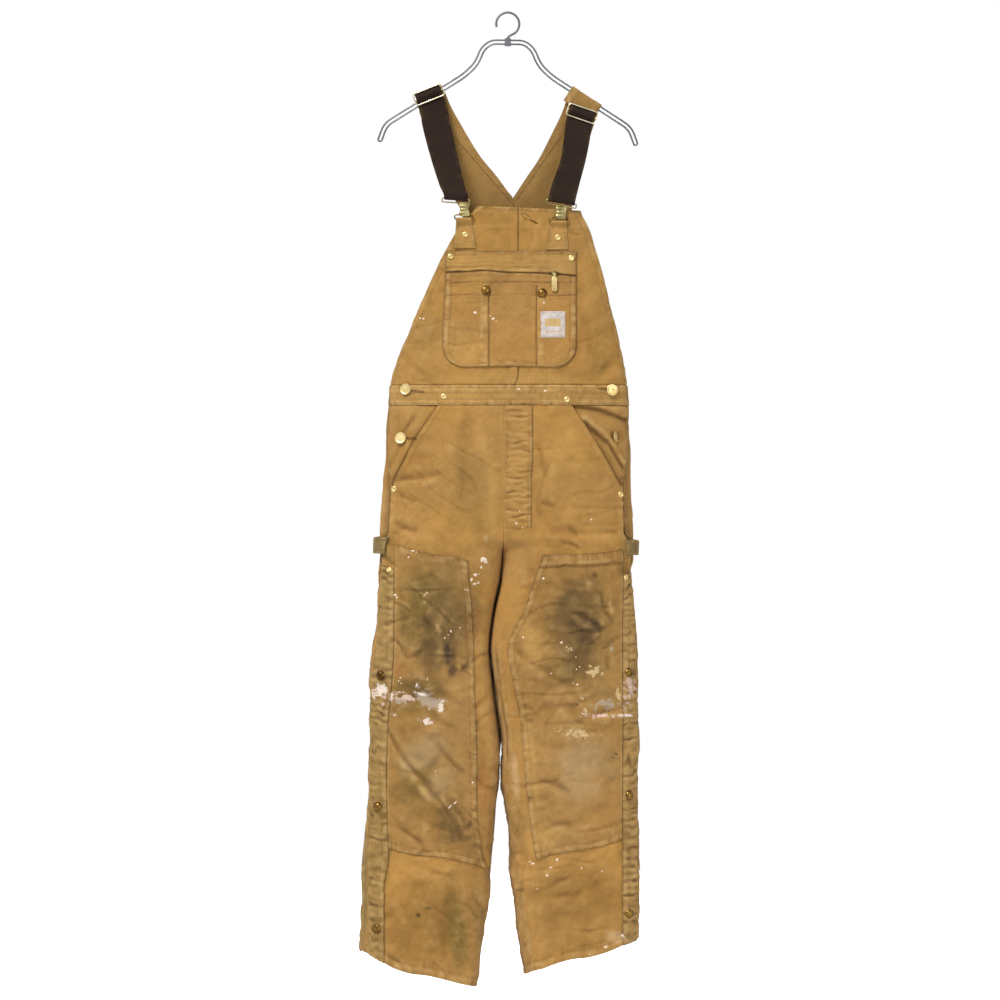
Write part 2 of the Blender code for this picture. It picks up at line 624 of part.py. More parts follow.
def make_pocket():
    """Bib pocket in two pieces above and below its zip, the zip's tape and the label."""
    x = np.linspace(POCKET["left"], POCKET["right"], 13)
    half_slit = ZIP_TAPE_HEIGHT / 2 + 0.3
    top = np.full_like(x, BAND_TOP)
    low = zip_z(x) + half_slit
    z = top + (low - top) * np.array([[0], [0.5], [1]])
    points, normals = front_at(x * np.ones((3, 1)), z)
    wall("bib_pocket_band", points + normals * (SKIN_GAP + PATCH_WALL), normals, PATCH_WALL)

    z = zip_z(x) + np.array([[0.5], [-0.5]]) * ZIP_TAPE_HEIGHT
    points, normals = front_at(x * np.ones((2, 1)), z)
    wall("zip_tape", points + normals * (SKIN_GAP + ZIP_TAPE_WALL), normals, ZIP_TAPE_WALL, "zip")

    bottom, corner = POCKET["bottom"], POCKET["corner"]
    shoulder = bottom + corner
    drops = np.concatenate([np.linspace(0, 1, 4), np.zeros(4)])
    turns = np.concatenate([np.zeros(4), np.radians(np.array([25, 48, 70, 84]))])
    share = np.linspace(0, 1, 13)
    start = zip_z(x) - half_slit
    z = start + (shoulder - start) * np.concatenate([drops[:4], np.ones(4)])[:, None]
    z = z - corner * np.sin(turns)[:, None]
    draw = corner * (1 - np.cos(turns))[:, None]
    left = POCKET["left"] + (POCKET["low_left"] - POCKET["left"]) * np.minimum(
        np.concatenate([drops[:4], np.ones(4)]), 1)[:, None] + draw
    right = POCKET["right"] - draw
    points, normals = front_at(left + (right - left) * share, z)
    wall("bib_pocket", points + normals * (SKIN_GAP + PATCH_WALL), normals, PATCH_WALL)

    x = np.linspace(LABEL["left"], LABEL["right"], 3) * np.ones((3, 1))
    z = np.linspace(LABEL["top"], LABEL["bottom"], 3)[:, None] * np.ones(3)
    points, normals = front_at(x, z)
    out = SKIN_GAP + PATCH_WALL + 0.4
    wall("label", points + normals * (out + 0.7), normals, 0.7, "label")


# ==== hanger, straps and their metal =======================================================
def wire_z(x):
    """Height of the upper wire's centre on the hanger's arms."""
    return ARM_START_Z - (np.abs(x) - ARM_START) * ARM_SLOPE - HANGER_TILT * x


def rounded_path(corners, radius, steps=3):
    """Corner points joined by straight runs, each corner rounded off."""
    corners = [np.asarray(corner, float) for corner in corners]
    path = [corners[0]]
    for before, corner, after in zip(corners, corners[1:], corners[2:]):
        reach = min(radius, np.linalg.norm(before - corner) / 2.05,
                    np.linalg.norm(after - corner) / 2.05)
        start = corner + (before - corner) / np.linalg.norm(before - corner) * reach
        end = corner + (after - corner) / np.linalg.norm(after - corner) * reach
        for t in np.linspace(0, 1, steps + 1):
            path.append(start * (1 - t) ** 2 + corner * 2 * t * (1 - t) + end * t * t)
    path.append(corners[-1])
    return np.array(path)


def make_hanger():
    """Closed double wire: both arms, the drooping tips and the raised neck; and the hook."""
    reach = WIRE_SPACING / 2
    below = reach / math.cos(math.atan(ARM_SLOPE))
    arm = [(x, wire_z(x) + HANGER_TILT * x - below) for x in (72, 201)]
    half = [(27, -47), (41, -58), (52, -84)] + arm + [(210, -210)]
    middle = [(-x, z) for x, z in reversed(half)] + half
    path = rounded_path([(x, 0, z - HANGER_TILT * x) for x, z in middle], 12)
    tangent = unit(np.gradient(path, axis=0))
    normal = np.stack([-tangent[:, 2], np.zeros(len(path)), tangent[:, 0]], -1)
    turns = np.radians(np.array([30, 60, 90, 120, 150]))[:, None]
    right = path[-1] + reach * (normal[-1] * np.cos(turns) + tangent[-1] * np.sin(turns))
    left = path[0] + reach * (-normal[0] * np.cos(turns) - tangent[0] * np.sin(turns))
    loop = np.concatenate([path + normal * reach, right, (path - normal * reach)[::-1], left])
    tube("hanger_frame", loop, WIRE, 6, "steel", closed=True)

    arc = HOOK_INNER + HOOK_WIRE
    turns = np.radians(np.arange(-50, 206, 15))
    bow = np.stack([arc * np.cos(turns), 0 * turns, arc * np.sin(turns) - HOOK_INNER], -1)
    stem = [(0, 0, -48), (0, 0, -41.5), (1.2, 0, -38.2), (4.4, 0, -35.6), (8.6, 0, -33.6)]
    hook = tube("hanger_hook", np.concatenate([stem, bow]), HOOK_WIRE, 8, "steel")
    neck_z = -47
    sleeve = block("hook_sleeve", (-5, -3.6, neck_z - 6.4), (5, 3.6, neck_z + 6.6), "steel")
    cut_or_join(hook, sleeve, "UNION")
    for number, z in enumerate((neck_z + reach, neck_z - reach)):
        slot = rod("hook_slot_%d" % number, (-12, 0, z), (12, 0, z), WIRE + 0.45, 12, "steel")
        cut_or_join(hook, slot, "DIFFERENCE")


def make_straps():
    """Canvas straps from the back bib up, over both wires and down in front."""
    for side, hand in ((-1, "left"), (1, "right")):
        rows = [((lx, y, lz), (rx, y, rz)) for lx, lz, rx, rz, y in STRAPS[side]]
        start, end = STRAP_ENDS[side]
        slope = math.atan2(wire_z(end) - wire_z(start), end - start)
        up = np.array((-math.sin(slope), 0, math.cos(slope)))
        back = np.array((0.0, 1.0, 0.0))
        outer = WIRE + STRAP_AIR + STRAP_WALL
        ends = [np.array((x, 0, wire_z(x))) for x in (start, end)]
        rows += [tuple(point + back * outer - up * WIRE_SPACING * 0.8 for point in ends)]
        for turn in np.radians(np.arange(0, 181, 30)):
            reach = outer * (back * math.cos(turn) + up * math.sin(turn))
            rows.append(tuple(point + reach for point in ends))
        for drop in np.linspace(0, STRAP_DROP[side], 2 if side < 0 else 4)[1:]:
            rows.append(tuple(point - back * outer - up * drop for point in ends))
        edges = np.array(rows)
        shares = np.linspace(0, 1, 4)[None, :, None]
        grid = edges[:, :1] + (edges[:, 1:] - edges[:, :1]) * shares
        wall("strap_" + hand, grid, -grid_normals(grid), STRAP_WALL)


def slide_frame(side):
    """Centre, width direction and downward direction of a slide."""
    x, z = SLIDES[side]["centre"]
    tilt = math.radians(SLIDES[side]["tilt"])
    across = np.array((math.cos(tilt), 0, math.sin(tilt)))
    down = np.array((math.sin(tilt), 0, -math.cos(tilt)))
    return np.array((x, SLIDE["y"], z)), across, down


def make_slides():
    """Three-bar slide: an oblong plate with two windows for the webbing."""
    for side, hand in ((-1, "left"), (1, "right")):
        centre, across, down = slide_frame(side)
        pitch = (SLIDE["height"] - SLIDE["bar"]) / 2
        half_bar = SLIDE["bar"] / 2
        xs = (-SLIDE["width"] / 2, -SLIDE["width"] / 2 + SLIDE["side"],
              SLIDE["width"] / 2 - SLIDE["side"], SLIDE["width"] / 2)
        vs = (-pitch - half_bar, -pitch + half_bar, -half_bar, half_bar,
              pitch - half_bar, pitch + half_bar)
        holes = {(1, 1), (1, 3)}
        cells = {(i, j) for i in range(3) for j in range(5)} - holes
        points = [centre + across * x + down * v + np.array((0, y, 0))
                  for y in (-half_bar, half_bar) for v in vs for x in xs]

        def corner(i, j, layer):
            return layer * 24 + j * 4 + i

        faces = []
        for i, j in sorted(cells):
            ring = ((i, j), (i + 1, j), (i + 1, j + 1), (i, j + 1))
            faces.append([corner(a, b, 0) for a, b in ring])
            faces.append([corner(a, b, 1) for a, b in reversed(ring)])
            beside = ((i, j - 1), (i + 1, j), (i, j + 1), (i - 1, j))
            for k, neighbour in enumerate(beside):
                if neighbour not in cells:
                    (a, b), (c, d) = ring[k], ring[(k + 1) % 4]
                    faces.append([corner(c, d, 0), corner(a, b, 0), corner(a, b, 1),
                                  corner(c, d, 1)])
        make_object("slide_" + hand, points, faces, "brass")


def make_webbing():
    """Elastic webbing: woven through the slide, hanging in front, folded round the loop."""
    for side, hand in ((-1, "left"), (1, "right")):
        centre, across, down = slide_frame(side)
        back = np.array((0.0, 1.0, 0.0))
        pitch = (SLIDE["height"] - SLIDE["bar"]) / 2
        reach = across * WEBBING_WIDTH / 2
        rows = []
        for step in np.linspace(-1, 1.25, 10):
            middle = centre + down * pitch * step + back * -WEAVE * math.cos(math.pi * min(step, 1))
            rows.append((middle - reach, middle + reach))
        rows += [((lx, y, lz), (rx, y, rz)) for lx, lz, rx, rz, y in WEBBING[side]]
        clasp = CLASPS[side]
        tilt = math.radians(clasp["tilt"])
        along = np.array((math.cos(tilt), 0, math.sin(tilt)))
        up = np.array((-math.sin(tilt), 0, math.cos(tilt)))
        bar = np.array((clasp["loop"][0], CLASP["y"], clasp["loop"][1]))
        half = along * (clasp["loop_width"] / 2 - 4)
        wrap = CLASP["wire"] + 0.45 + WEBBING_WALL / 2
        for turn in np.radians(np.arange(180, 361, 30)):
            middle = bar + wrap * (back * math.cos(turn) + up * math.sin(turn))
            rows.append((middle - half, middle + half))
        middle = bar + back * (wrap + 0.6) + up * 9
        rows.append((middle - half, middle + half))
        edges = np.array(rows)
        shares = np.linspace(0, 1, 3)[None, :, None]
        grid = edges[:, :1] + (edges[:, 1:] - edges[:, :1]) * shares
        normals = grid_normals(grid)
        wall("webbing_" + hand, grid + normals * WEBBING_WALL / 2, normals, WEBBING_WALL, "webbing")


def oblong(centre, width, height, tilt):
    """Closed oblong of centre-line points with rounded corners, in the plane that faces Y."""
    radius = 1.9
    turns = np.radians(np.arange(0, 91, 30))
    bow = np.stack([np.sin(turns), np.cos(turns)], -1) * radius
    bow += (width / 2 - radius, height / 2 - radius)
    right = np.concatenate([bow, bow[::-1] * (1, -1)])
    x, z = np.concatenate([right, -right]).T
    cosine, sine = math.cos(math.radians(tilt)), math.sin(math.radians(tilt))
    return np.stack([centre[0] + x * cosine - z * sine, np.full_like(x, centre[1]),
                     centre[2] + x * sine + z * cosine], -1)


def make_clasps():
    """Clasp: the webbing's wire loop with the body below it; then the tab's ring."""
    for side, hand in ((-1, "left"), (1, "right")):
        clasp = CLASPS[side]
        tilt = math.radians(clasp["tilt"])
        drop = CLASP["loop_height"] / 2
        x, z = clasp["loop"]
        centre = (x + math.sin(tilt) * drop, CLASP["y"], z - math.cos(tilt) * drop)
        path = oblong(centre, clasp["loop_width"] - CLASP["wire"] * 2, CLASP["loop_height"],
                      clasp["tilt"])
        item = tube("clasp_" + hand, path, CLASP["wire"], 8, "brass", closed=True)
        half = CLASP["body_width"] / 2
        deep = CLASP["body_depth"] / 2
        bar_z = centre[2] - drop + (clasp["body_x"] - centre[0]) * math.tan(tilt)
        body = block("clasp_body_" + hand,
                     (clasp["body_x"] - half, CLASP["y"] - deep, clasp["ring_z"] - deep),
                     (clasp["body_x"] + half, CLASP["y"] + deep, bar_z + CLASP["wire"]), "brass")
        cut_or_join(item, body, "UNION")
        slot = rod("clasp_slot_" + hand, (clasp["body_x"] - 20, CLASP["y"], clasp["ring_z"]),
                   (clasp["body_x"] + 20, CLASP["y"], clasp["ring_z"]), RING["wire"] + 0.4, 12,
                   "brass")
        cut_or_join(item, slot, "DIFFERENCE")

        ring_centre = (clasp["ring_x"], CLASP["y"], clasp["ring_z"] - RING["height"] / 2)
        path = oblong(ring_centre, RING["width"], RING["height"], 0)
        tube("tab_ring_" + hand, path, RING["wire"], 8, "brass", closed=True)


def tab_y(side, z):
    """y of a tab's outer face: it stands just clear of the bib's foremost point below it."""
    x = np.linspace(TABS[side]["bottom"][0], TABS[side]["bottom"][1], 5)
    return front_at(x, z)[0][:, 1].min() - SKIN_GAP - TAB_WALL


def make_tabs():
    """Canvas tabs: each folds over its ring's lower bar and lies on the bib below it."""
    for side, hand in ((-1, "left"), (1, "right")):
        tab, clasp = TABS[side], CLASPS[side]
        bar_z = clasp["ring_z"] - RING["height"]
        low = tab["low"]
        below = np.linspace(low, bar_z - 8, 4)
        path = [(tab_y(side, z), z) for z in below]
        for turn in np.radians(np.arange(210, -61, -30)):
            path.append((CLASP["y"] + TAB_EYE * math.cos(turn), bar_z + TAB_EYE * math.sin(turn)))
        path = np.array(path)
        share = np.clip((path[:, 1] - low) / (bar_z - low), 0, 1)[:, None]
        left = tab["bottom"][0] + (tab["top"][0] - tab["bottom"][0]) * share
        right = tab["bottom"][1] + (tab["top"][1] - tab["bottom"][1]) * share
        x = left + (right - left) * np.linspace(0, 1, 3)
        grid = np.stack([x, path[:, :1] * np.ones(3), path[:, 1:] * np.ones(3)], -1)
        normals = grid_normals(grid)
        if normals[0, 0, 1] > 0:
            normals = -normals
        wall("tab_" + hand, grid, normals, TAB_WALL)


# ==== rivets, buttons, snaps and the zip's slider ==========================================
def outward_place(x, z, out):
    point, normal = front_at(np.array([x]), np.array([z]))
    return point[0] + normal[0] * out, normal[0]


def make_small_metal():
    rivet = ((0, 0), (4.6, 0), (4.7, 0.7), (3.6, 1.6), (1.7, 1.5), (1.4, 0.7), (0, 0.7))
    on_patch, on_panel = SKIN_GAP + PATCH_WALL + 0.4, 0.4
    for name, (x, z) in RIVETS.items():
        out = on_patch
        if "waist" in name:
            out = 1.0
        if "pocket" in name:
            out = on_panel
        if "flap" in name:
            out = on_patch + 0.5
        place, normal = outward_place(x, z, out)
        if "tab" in name:
            place[1] = tab_y(-1 if x < 0 else 1, z) - 0.5
        turned(name, rivet, 12, place, normal, "brass")
    button = ((0, 0), (4.0, 0), (4.0, 1.2), (9.0, 1.5), (9.5, 2.4), (8.8, 3.2), (7.2, 2.8),
              (0, 2.9))
    for name, (x, z) in SIDE_BUTTONS.items():
        place, normal = outward_place(x, z, 1.0 if "upper" in name else -0.3)
        turned(name, button, 16, place, normal, "brass")
    snap = ((0, 0), (7.2, 0), (7.5, 0.8), (6.2, 1.7), (5.6, 1.4), (4.2, 2.4), (0, 2.9))
    for name, (x, z) in POCKET_SNAPS.items():
        place, normal = outward_place(x, z, on_patch)
        turned(name, [(radius * 1.12, height * 1.2) for radius, height in snap], 16, place,
               normal, "brass")
    for name, (x, z) in FLAP_SNAPS.items():
        place, normal = outward_place(x, z, on_patch + 0.2)
        turned(name, snap, 14, place, normal, "brass")


def make_zip_slider():
    """Slider on the pocket's zip, and the pull tab that swings on its bridge."""
    z = float(zip_z(SLIDER_X))
    face = front_at(np.array([SLIDER_X]), np.array([z]))[0][0, 1]
    base = face - SLIDER["base"]
    front = base - SLIDER["wall"]
    axis_y = face - PULL["axis_out"]
    half_width, half_height = SLIDER["width"] / 2, SLIDER["height"] / 2
    slider = block("zip_slider", (SLIDER_X - half_width, front, z - half_height),
                   (SLIDER_X + half_width, base, z + half_height), "brass")
    eye_half = PULL["eye_width"] / 2
    for number, hand in enumerate((-1, 1)):
        post = sorted((SLIDER_X + hand * (eye_half + 0.4), SLIDER_X + hand * (eye_half + 1.5)))
        post_block = block("bridge_post_%d" % number, (post[0], axis_y - 1.1, z - 1.1),
                           (post[1], front + 0.6, z + 1.1), "brass")
        cut_or_join(slider, post_block, "UNION")
    bar = rod("bridge_bar", (SLIDER_X - eye_half - 1.0, axis_y, z),
              (SLIDER_X + eye_half + 1.0, axis_y, z), PULL["bar"], 8, "brass")
    cut_or_join(slider, bar, "UNION")

    half, wall_half = PULL["width"] / 2, PULL["wall"] / 2
    outline = [(-1.6, -0.6), (-1.6, -3.0), (-half + 1.4, -5.4), (-half, -7.4),
               (-half, -PULL["length"] + 2.0), (-half + 2.0, -PULL["length"]),
               (half - 2.0, -PULL["length"]), (half, -PULL["length"] + 2.0), (half, -7.4),
               (half - 1.4, -5.4), (1.6, -3.0), (1.6, -0.6)]
    count = len(outline)
    points = [(SLIDER_X + x, axis_y + y, z + dz) for y in (-wall_half, wall_half)
              for x, dz in outline]
    faces = [list(range(count)), list(range(2 * count - 1, count - 1, -1))]
    faces += [[(k + 1) % count, k, k + count, (k + 1) % count + count] for k in range(count)]
    pull = make_object("zip_pull", points, faces, "brass", origin=(SLIDER_X, axis_y, z))
    ends = ((SLIDER_X - eye_half, axis_y, z), (SLIDER_X + eye_half, axis_y, z))
    cut_or_join(pull, rod("pull_eye", *ends, PULL["eye"], 14, "brass"), "UNION")
    far = ((SLIDER_X - 9, axis_y, z), (SLIDER_X + 9, axis_y, z))
    cut_or_join(pull, rod("pull_hole", *far, PULL["hole"], 14, "brass"), "DIFFERENCE")


clear_scene()
make_hanger()
make_straps()
make_slides()
make_webbing()
make_clasps()
make_tabs()
make_bib()
make_pocket()
make_waistband()
make_legs()
make_small_metal()
make_zip_slider()
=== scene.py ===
# Bib overalls of worn duck canvas on a double-wire hanger.
# Tables are in millimetres and meshes in metres. +Z is up, the front faces -Y, and left
# and right are the viewer's, so left is -X. The origin is the inner top of the hook.
import math

import bpy
import numpy as np
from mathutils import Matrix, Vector


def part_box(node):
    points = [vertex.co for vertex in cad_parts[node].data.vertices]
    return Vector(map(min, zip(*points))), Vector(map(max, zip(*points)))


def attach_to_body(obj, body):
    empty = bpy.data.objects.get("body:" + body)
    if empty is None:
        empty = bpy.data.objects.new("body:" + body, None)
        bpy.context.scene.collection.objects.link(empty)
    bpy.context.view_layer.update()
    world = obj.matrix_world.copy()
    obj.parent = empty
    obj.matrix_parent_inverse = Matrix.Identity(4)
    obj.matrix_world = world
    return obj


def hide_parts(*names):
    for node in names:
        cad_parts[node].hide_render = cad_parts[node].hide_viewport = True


print("stage 1: the frame")
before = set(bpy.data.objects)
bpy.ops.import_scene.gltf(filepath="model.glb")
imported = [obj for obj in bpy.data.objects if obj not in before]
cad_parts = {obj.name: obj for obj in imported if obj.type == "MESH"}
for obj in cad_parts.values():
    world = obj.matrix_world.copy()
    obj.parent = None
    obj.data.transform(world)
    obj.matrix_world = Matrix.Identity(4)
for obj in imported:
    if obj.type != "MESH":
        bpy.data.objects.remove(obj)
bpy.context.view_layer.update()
mm = 0.001
hands = {-1: "Left", 1: "Right"}

# The garment's form, section by section down from the bib's top: x of the edges, the angle
# of a free side edge, and how far front and back stand from the hanger's plane.
sectionNames = ("z", "outLeft", "backLeft", "inLeft", "inRight", "backRight", "outRight",
                "open", "front", "backDepth")
bodySections = (
    (-318, -48, -72, 17, 17, 106, 118, 64, 20, 16),
    (-331, -61, -73, 17, 17, 106, 121, 60, 21, 17),
    (-349, -76, -75, 17, 17, 110, 130, 54, 22, 18.5),
    (-363, -86, -82, 17, 17, 117, 136, 48, 23.5, 20),
    (-384, -98, -96, 17, 17, 133, 142, 42, 25, 22),
    (-400, -107, -106, 17, 17, 142, 147, 37, 26.5, 23.5),
    (-432, -122, -121, 17, 17, 156, 157, 28, 29, 27),
    (-464, -136, -135, 17, 17, 164, 165, 22, 32, 30),
    (-496, -150, -149, 17, 17, 172, 173, 17, 34.5, 33),
    (-528, -165, -164, 17, 17, 181, 182, 13, 37, 36),
    (-560, -179, -179, 17, 17, 189, 189, 9, 39.5, 39),
    (-592, -189, -189, 17, 17, 194, 194, 6, 42, 42),
    (-624, -194, -194, 6, 6, 197, 197, 2, 44, 44.5),
    (-656, -197, -197, -6, -6, 200, 200, 0, 46.5, 48),
    (-720, -200, -200, -6, -6, 201, 201, 0, 50, 52),
    (-784, -205, -205, -6, -6, 203, 203, 0, 52, 56),
    (-848, -209, -209, -7, -7, 205, 205, 0, 51, 54),
    (-885, -211, -211, -8.4, -7.6, 204, 204, 0, 50, 52),
    (-928, -213, -213, -13, -10.6, 203, 203, 0, 48.5, 50),
    (-976, -214, -214, -23.5, -20.5, 208, 208, 0, 47, 48),
    (-1040, -222, -222, -31.5, -28, 211, 211, 0, 46, 46),
    (-1100, -227, -227, -25.5, -22, 214, 214, 0, 46, 45),
    (-1136, -228, -228, -20.5, -17.5, 214, 214, 0, 46, 45),
    (-1200, -229, -229, -14, -9, 214, 214, 0, 45, 44),
    (-1264, -229, -229, -17.5, -8, 214, 214, 0, 44, 43),
    (-1328, -233, -233, -21, 0, 214, 214, 0, 44, 42),
    (-1392, -238, -238, -27, 3, 214, 214, 0, 44, 42),
    (-1456, -241, -241, -32, 10, 214, 214, 0, 44, 43),
    (-1520, -243, -243, -43, 18, 214, 214, 0, 45, 44),
    (-1600, -244, -244, -49, 31, 214, 214, 0, 47, 46),
)
# Lines down each leg: the side seam's angle, then x of the flap, knee panel and fly edges.
guideNames = ("z", "seam", "flapOutLeft", "flapInLeft", "patchInLeft", "patchInRight",
              "flapInRight", "flapOutRight")
legGuides = (
    (-645, 10, -190, -172, -58, 40, 172, 190),
    (-720, 14, -193, -176, -60, 40, 176, 194),
    (-771, 25, -198, -180, -62, 38, 180, 197),
    (-850, 26, -203, -184, -64, 38, 186, 200),
    (-891, 18, -205, -185, -65, 56, 187, 201),
    (-928, 12, -206, -185, -64, 44, 187, 201),
    (-976, 10, -210, -185, -60, 29, 187, 203),
    (-1045, 10, -213, -186, -57, 0, 187, 206),
    (-1101, 10, -221, -189, -55, 10, 187, 209),
    (-1165, 10, -224, -195, -52, 22, 187, 209),
    (-1264, 10, -224, -198, -51, 30, 187, 209),
    (-1314, 10, -226, -197, -51, 35, 187, 209),
    (-1387, 10, -226, -195, -39, 46, 187, 209),
    (-1430, 10, -226, -202, -32, 52, 187, 209),
    (-1600, 10, -226, -202, -60, 60, 187, 209),
)
roundness = 3.0                      # power of the rounded section
crotchTop, crotchLow = -855, -885    # the centre seam turns under between these heights
legTop, bibLow, backTop, waistTop, waistLow = -645.3, -611.7, -338, -612, -645
pocketSlant = {-1: ((-115, -645), (-149, -696), (-188, -771)),
               1: ((105, -645), (141, -701), (186, -778))}
mouthLow = {side: line[-1][1] for side, line in pocketSlant.items()}
legLines = {-1: {"patchTop": (-863, -911), "patchLow": (-1360, -1418), "hem": (-1535, -1598)},
            1: {"patchTop": (-879, -895), "patchLow": (-1344, -1401), "hem": (-1518, -1581)}}
# Broad folds: side, front or back, start and end x and z, width, height.
bodyFolds = (
    (-1, 1, -182, -1200, -84, -1350, 20, 4.5), (-1, 1, -130, -1010, -70, -1120, 26, 3.5),
    (-1, 1, -176, -800, -96, -770, 24, 3.5), (-1, 1, -150, -1420, -90, -1540, 28, 3.0),
    (1, 1, 60, -960, 150, -1010, 26, 4.0), (1, 1, 30, -1080, 110, -1180, 28, 4.0),
    (1, 1, 80, -800, 160, -860, 24, 3.5), (1, 1, 90, -1400, 130, -1530, 28, 3.0),
    (-1, -1, -170, -930, -60, -980, 26, 4.0), (-1, -1, -150, -1250, -70, -1190, 28, 4.0),
    (1, -1, 170, -950, 50, -1000, 26, 4.0), (1, -1, 60, -1200, 150, -1260, 28, 4.0),
)


def unit(vectors):
    return vectors / np.maximum(np.linalg.norm(vectors, axis=-1, keepdims=True), 1e-9)


def ease(t):                      # 0 below 0, 1 above 1, and 3t^2 - 2t^3 between
    t = np.clip(t, 0, 1)
    return t * t * (3 - 2 * t)


def bell(off, width):             # 1 at 0 and exp(-(off / width)^2) away from it
    return np.exp(-(off / width) ** 2)


def mix(start, end, share):
    return start + (end - start) * share


# Cubic from low to high over a span, with a slope at each end.
def cubic(t, span, low, high, slopeLow, slopeHigh):
    return ((1 + 2 * t) * (1 - t) ** 2 * low + t * (1 - t) ** 2 * span * slopeLow
            + t * t * (3 - 2 * t) * high + t * t * (t - 1) * span * slopeHigh)


# One column of a table as a curve of height: cubic pieces whose slopes never overshoot.
def column(table, names, name, heights):
    rows = np.array(table, float)
    drop, values = -rows[:, 0], rows[:, names.index(name)]
    rises = np.diff(values) / np.diff(drop)
    before, after = rises[:-1], rises[1:]
    sameWay = before * after > 0
    middle = np.where(sameWay, 2 * before * after / np.where(sameWay, before + after, 1), 0)
    slopes = np.concatenate([rises[:1], middle, rises[-1:]])
    where = np.clip(-np.asarray(heights, float), drop[0], drop[-1])
    k = np.clip(np.searchsorted(drop, where) - 1, 0, len(drop) - 2)
    step = drop[k + 1] - drop[k]
    return cubic((where - drop[k]) / step, step, values[k], values[k + 1], slopes[k], slopes[k + 1])


def section(name, heights):
    return column(bodySections, sectionNames, name, heights)


def guide(name, heights):
    return column(legGuides, guideNames, name, heights)


def innerAngle(z):                # 90 on the centre seam, 180 on the inseam, eased between
    return 90 + 90 * ease((crotchTop - z) / (crotchTop - crotchLow))


def spread(angle):                # place across the section, -1 to 1: minus the cosine's signed root
    cosine = np.cos(np.radians(angle))
    return -np.sign(cosine) * np.abs(cosine) ** (2 / roundness)


# A point's share t of the way along a line from x0, z0 to x1, z1, and its distance off it.
def offLine(x, z, x0, z0, x1, z1):
    runX, runZ = x1 - x0, z1 - z0
    length = math.hypot(runX, runZ)
    return (((x - x0) * runX + (z - z0) * runZ) / length ** 2,
            ((x - x0) * runZ - (z - z0) * runX) / length)


# Soft ridge along each fold's line: height * exp(-(off / width)^2), eased out at both ends.
def foldHeight(side, face, x, z):
    total = np.zeros(np.broadcast(x, z).shape)
    for foldSide, foldFace, x0, z0, x1, z1, width, height in bodyFolds:
        if (foldSide, foldFace) == (side, face):
            t, off = offLine(x, z, x0, z0, x1, z1)
            total += height * bell(off, width) * ease(1 - np.abs(2 * t - 1))
    return total


# A point of one half: x runs from the outer to the inner edge as the root of the cosine,
# y is the depth times the root of the sine. Angles above 0 are the front, below 0 the back.
def surfacePoints(side, angle, z):
    angle, z = np.broadcast_arrays(np.asarray(angle, float), np.asarray(z, float))
    front, hand = angle >= 0, hands[side]
    outer = np.where(front, section("out" + hand, z), section("back" + hand, z))
    x = mix(outer, section("in" + hand, z), anglePlace(np.abs(angle), z))
    lift = np.abs(np.sin(np.radians(angle))) ** (2 / roundness)
    near, far = (lift * (section(name, z) + lift * foldHeight(side, face, x, z))
                 for name, face in (("front", 1), ("backDepth", -1)))
    return np.stack([x, np.where(front, -near, far), z], -1)


def surface(side, angle, z):      # points, and normals from small steps round and up
    angle, z = np.broadcast_arrays(np.asarray(angle, float), np.asarray(z, float))
    turn = surfacePoints(side, angle + 0.6, z) - surfacePoints(side, angle - 0.6, z)
    rise = surfacePoints(side, angle, z + 1.0) - surfacePoints(side, angle, z - 1.0)
    return surfacePoints(side, angle, z), unit(np.cross(turn, rise)) * -side


def placeAngle(q, z):             # angle at the share q of the way from outer to inner edge
    place = mix(spread(section("open", z)), spread(innerAngle(z)), np.clip(q, 0, 1))
    return np.degrees(np.arccos(np.clip(-np.sign(place) * np.abs(place) ** (roundness / 2), -1, 1)))


def anglePlace(angle, z):         # the share q at an angle
    first, last = spread(section("open", z)), spread(innerAngle(z))
    return (spread(angle) - first) / (last - first)


def xPlace(side, x, z):           # the share q at an x on the front
    outer, inner = section("out" + hands[side], z), section("in" + hands[side], z)
    return np.clip((x - outer) / (inner - outer), 0, 1)


def angleAt(side, x, z):
    return placeAngle(xPlace(side, x, z), z)


def frontAt(x, z):                # points and normals of the front at any x and z
    x, z = np.broadcast_arrays(np.asarray(x, float), np.asarray(z, float))
    left, right = (surface(side, angleAt(side, x, z), z) for side in hands)
    onLeft = (x < section("inLeft", z))[..., None]
    return np.where(onLeft, left[0], right[0]), np.where(onLeft, left[1], right[1])


def lineZ(x, line):               # z at an x on a line of x, z pairs
    return np.interp(x, [point[0] for point in line], [point[1] for point in line])


def slantX(side, z):              # x of the pocket's mouth at a height
    return lineZ(-z, [(-pointZ, pointX) for pointX, pointZ in pocketSlant[side]])


def pathLength(points, axis=0):   # running length along a path or a grid
    steps = np.linalg.norm(np.diff(points, axis=axis), axis=-1)
    start = np.zeros_like(np.take(steps, [0], axis=axis))
    return np.concatenate([start, np.cumsum(steps, axis=axis)], axis=axis)


# Distances from 0 to a length: short steps by both ends, even ones between, all in threes.
def spaced(length, step, ends=(0.7, 1.6, 2.8)):
    count = 3 * max(1, round((length - 2 * ends[-1]) / step / 3))
    middle = np.linspace(ends[-1], length - ends[-1], count + 1)
    return np.concatenate([[0], ends[:-1], middle, length - np.array(ends[-2::-1]), [length]])


def shares(length, step):         # the same from 0 to 1
    return spaced(length, step) / length


def rowsOf(start, end, length, step):    # a column of values from start to end
    return mix(start, end, shares(length, step)[:, None])


# Shares across the body, from one to the inner edge, evenly along the cloth at one height.
def evenPlaces(side, z, face, start, step):
    dense = mix(start, 1, 0.5 - 0.5 * np.cos(np.linspace(0, math.pi, 1500)))
    arc = pathLength(surfacePoints(side, face * placeAngle(dense, z), z))
    return np.interp(spaced(arc[-1], step), arc, dense)


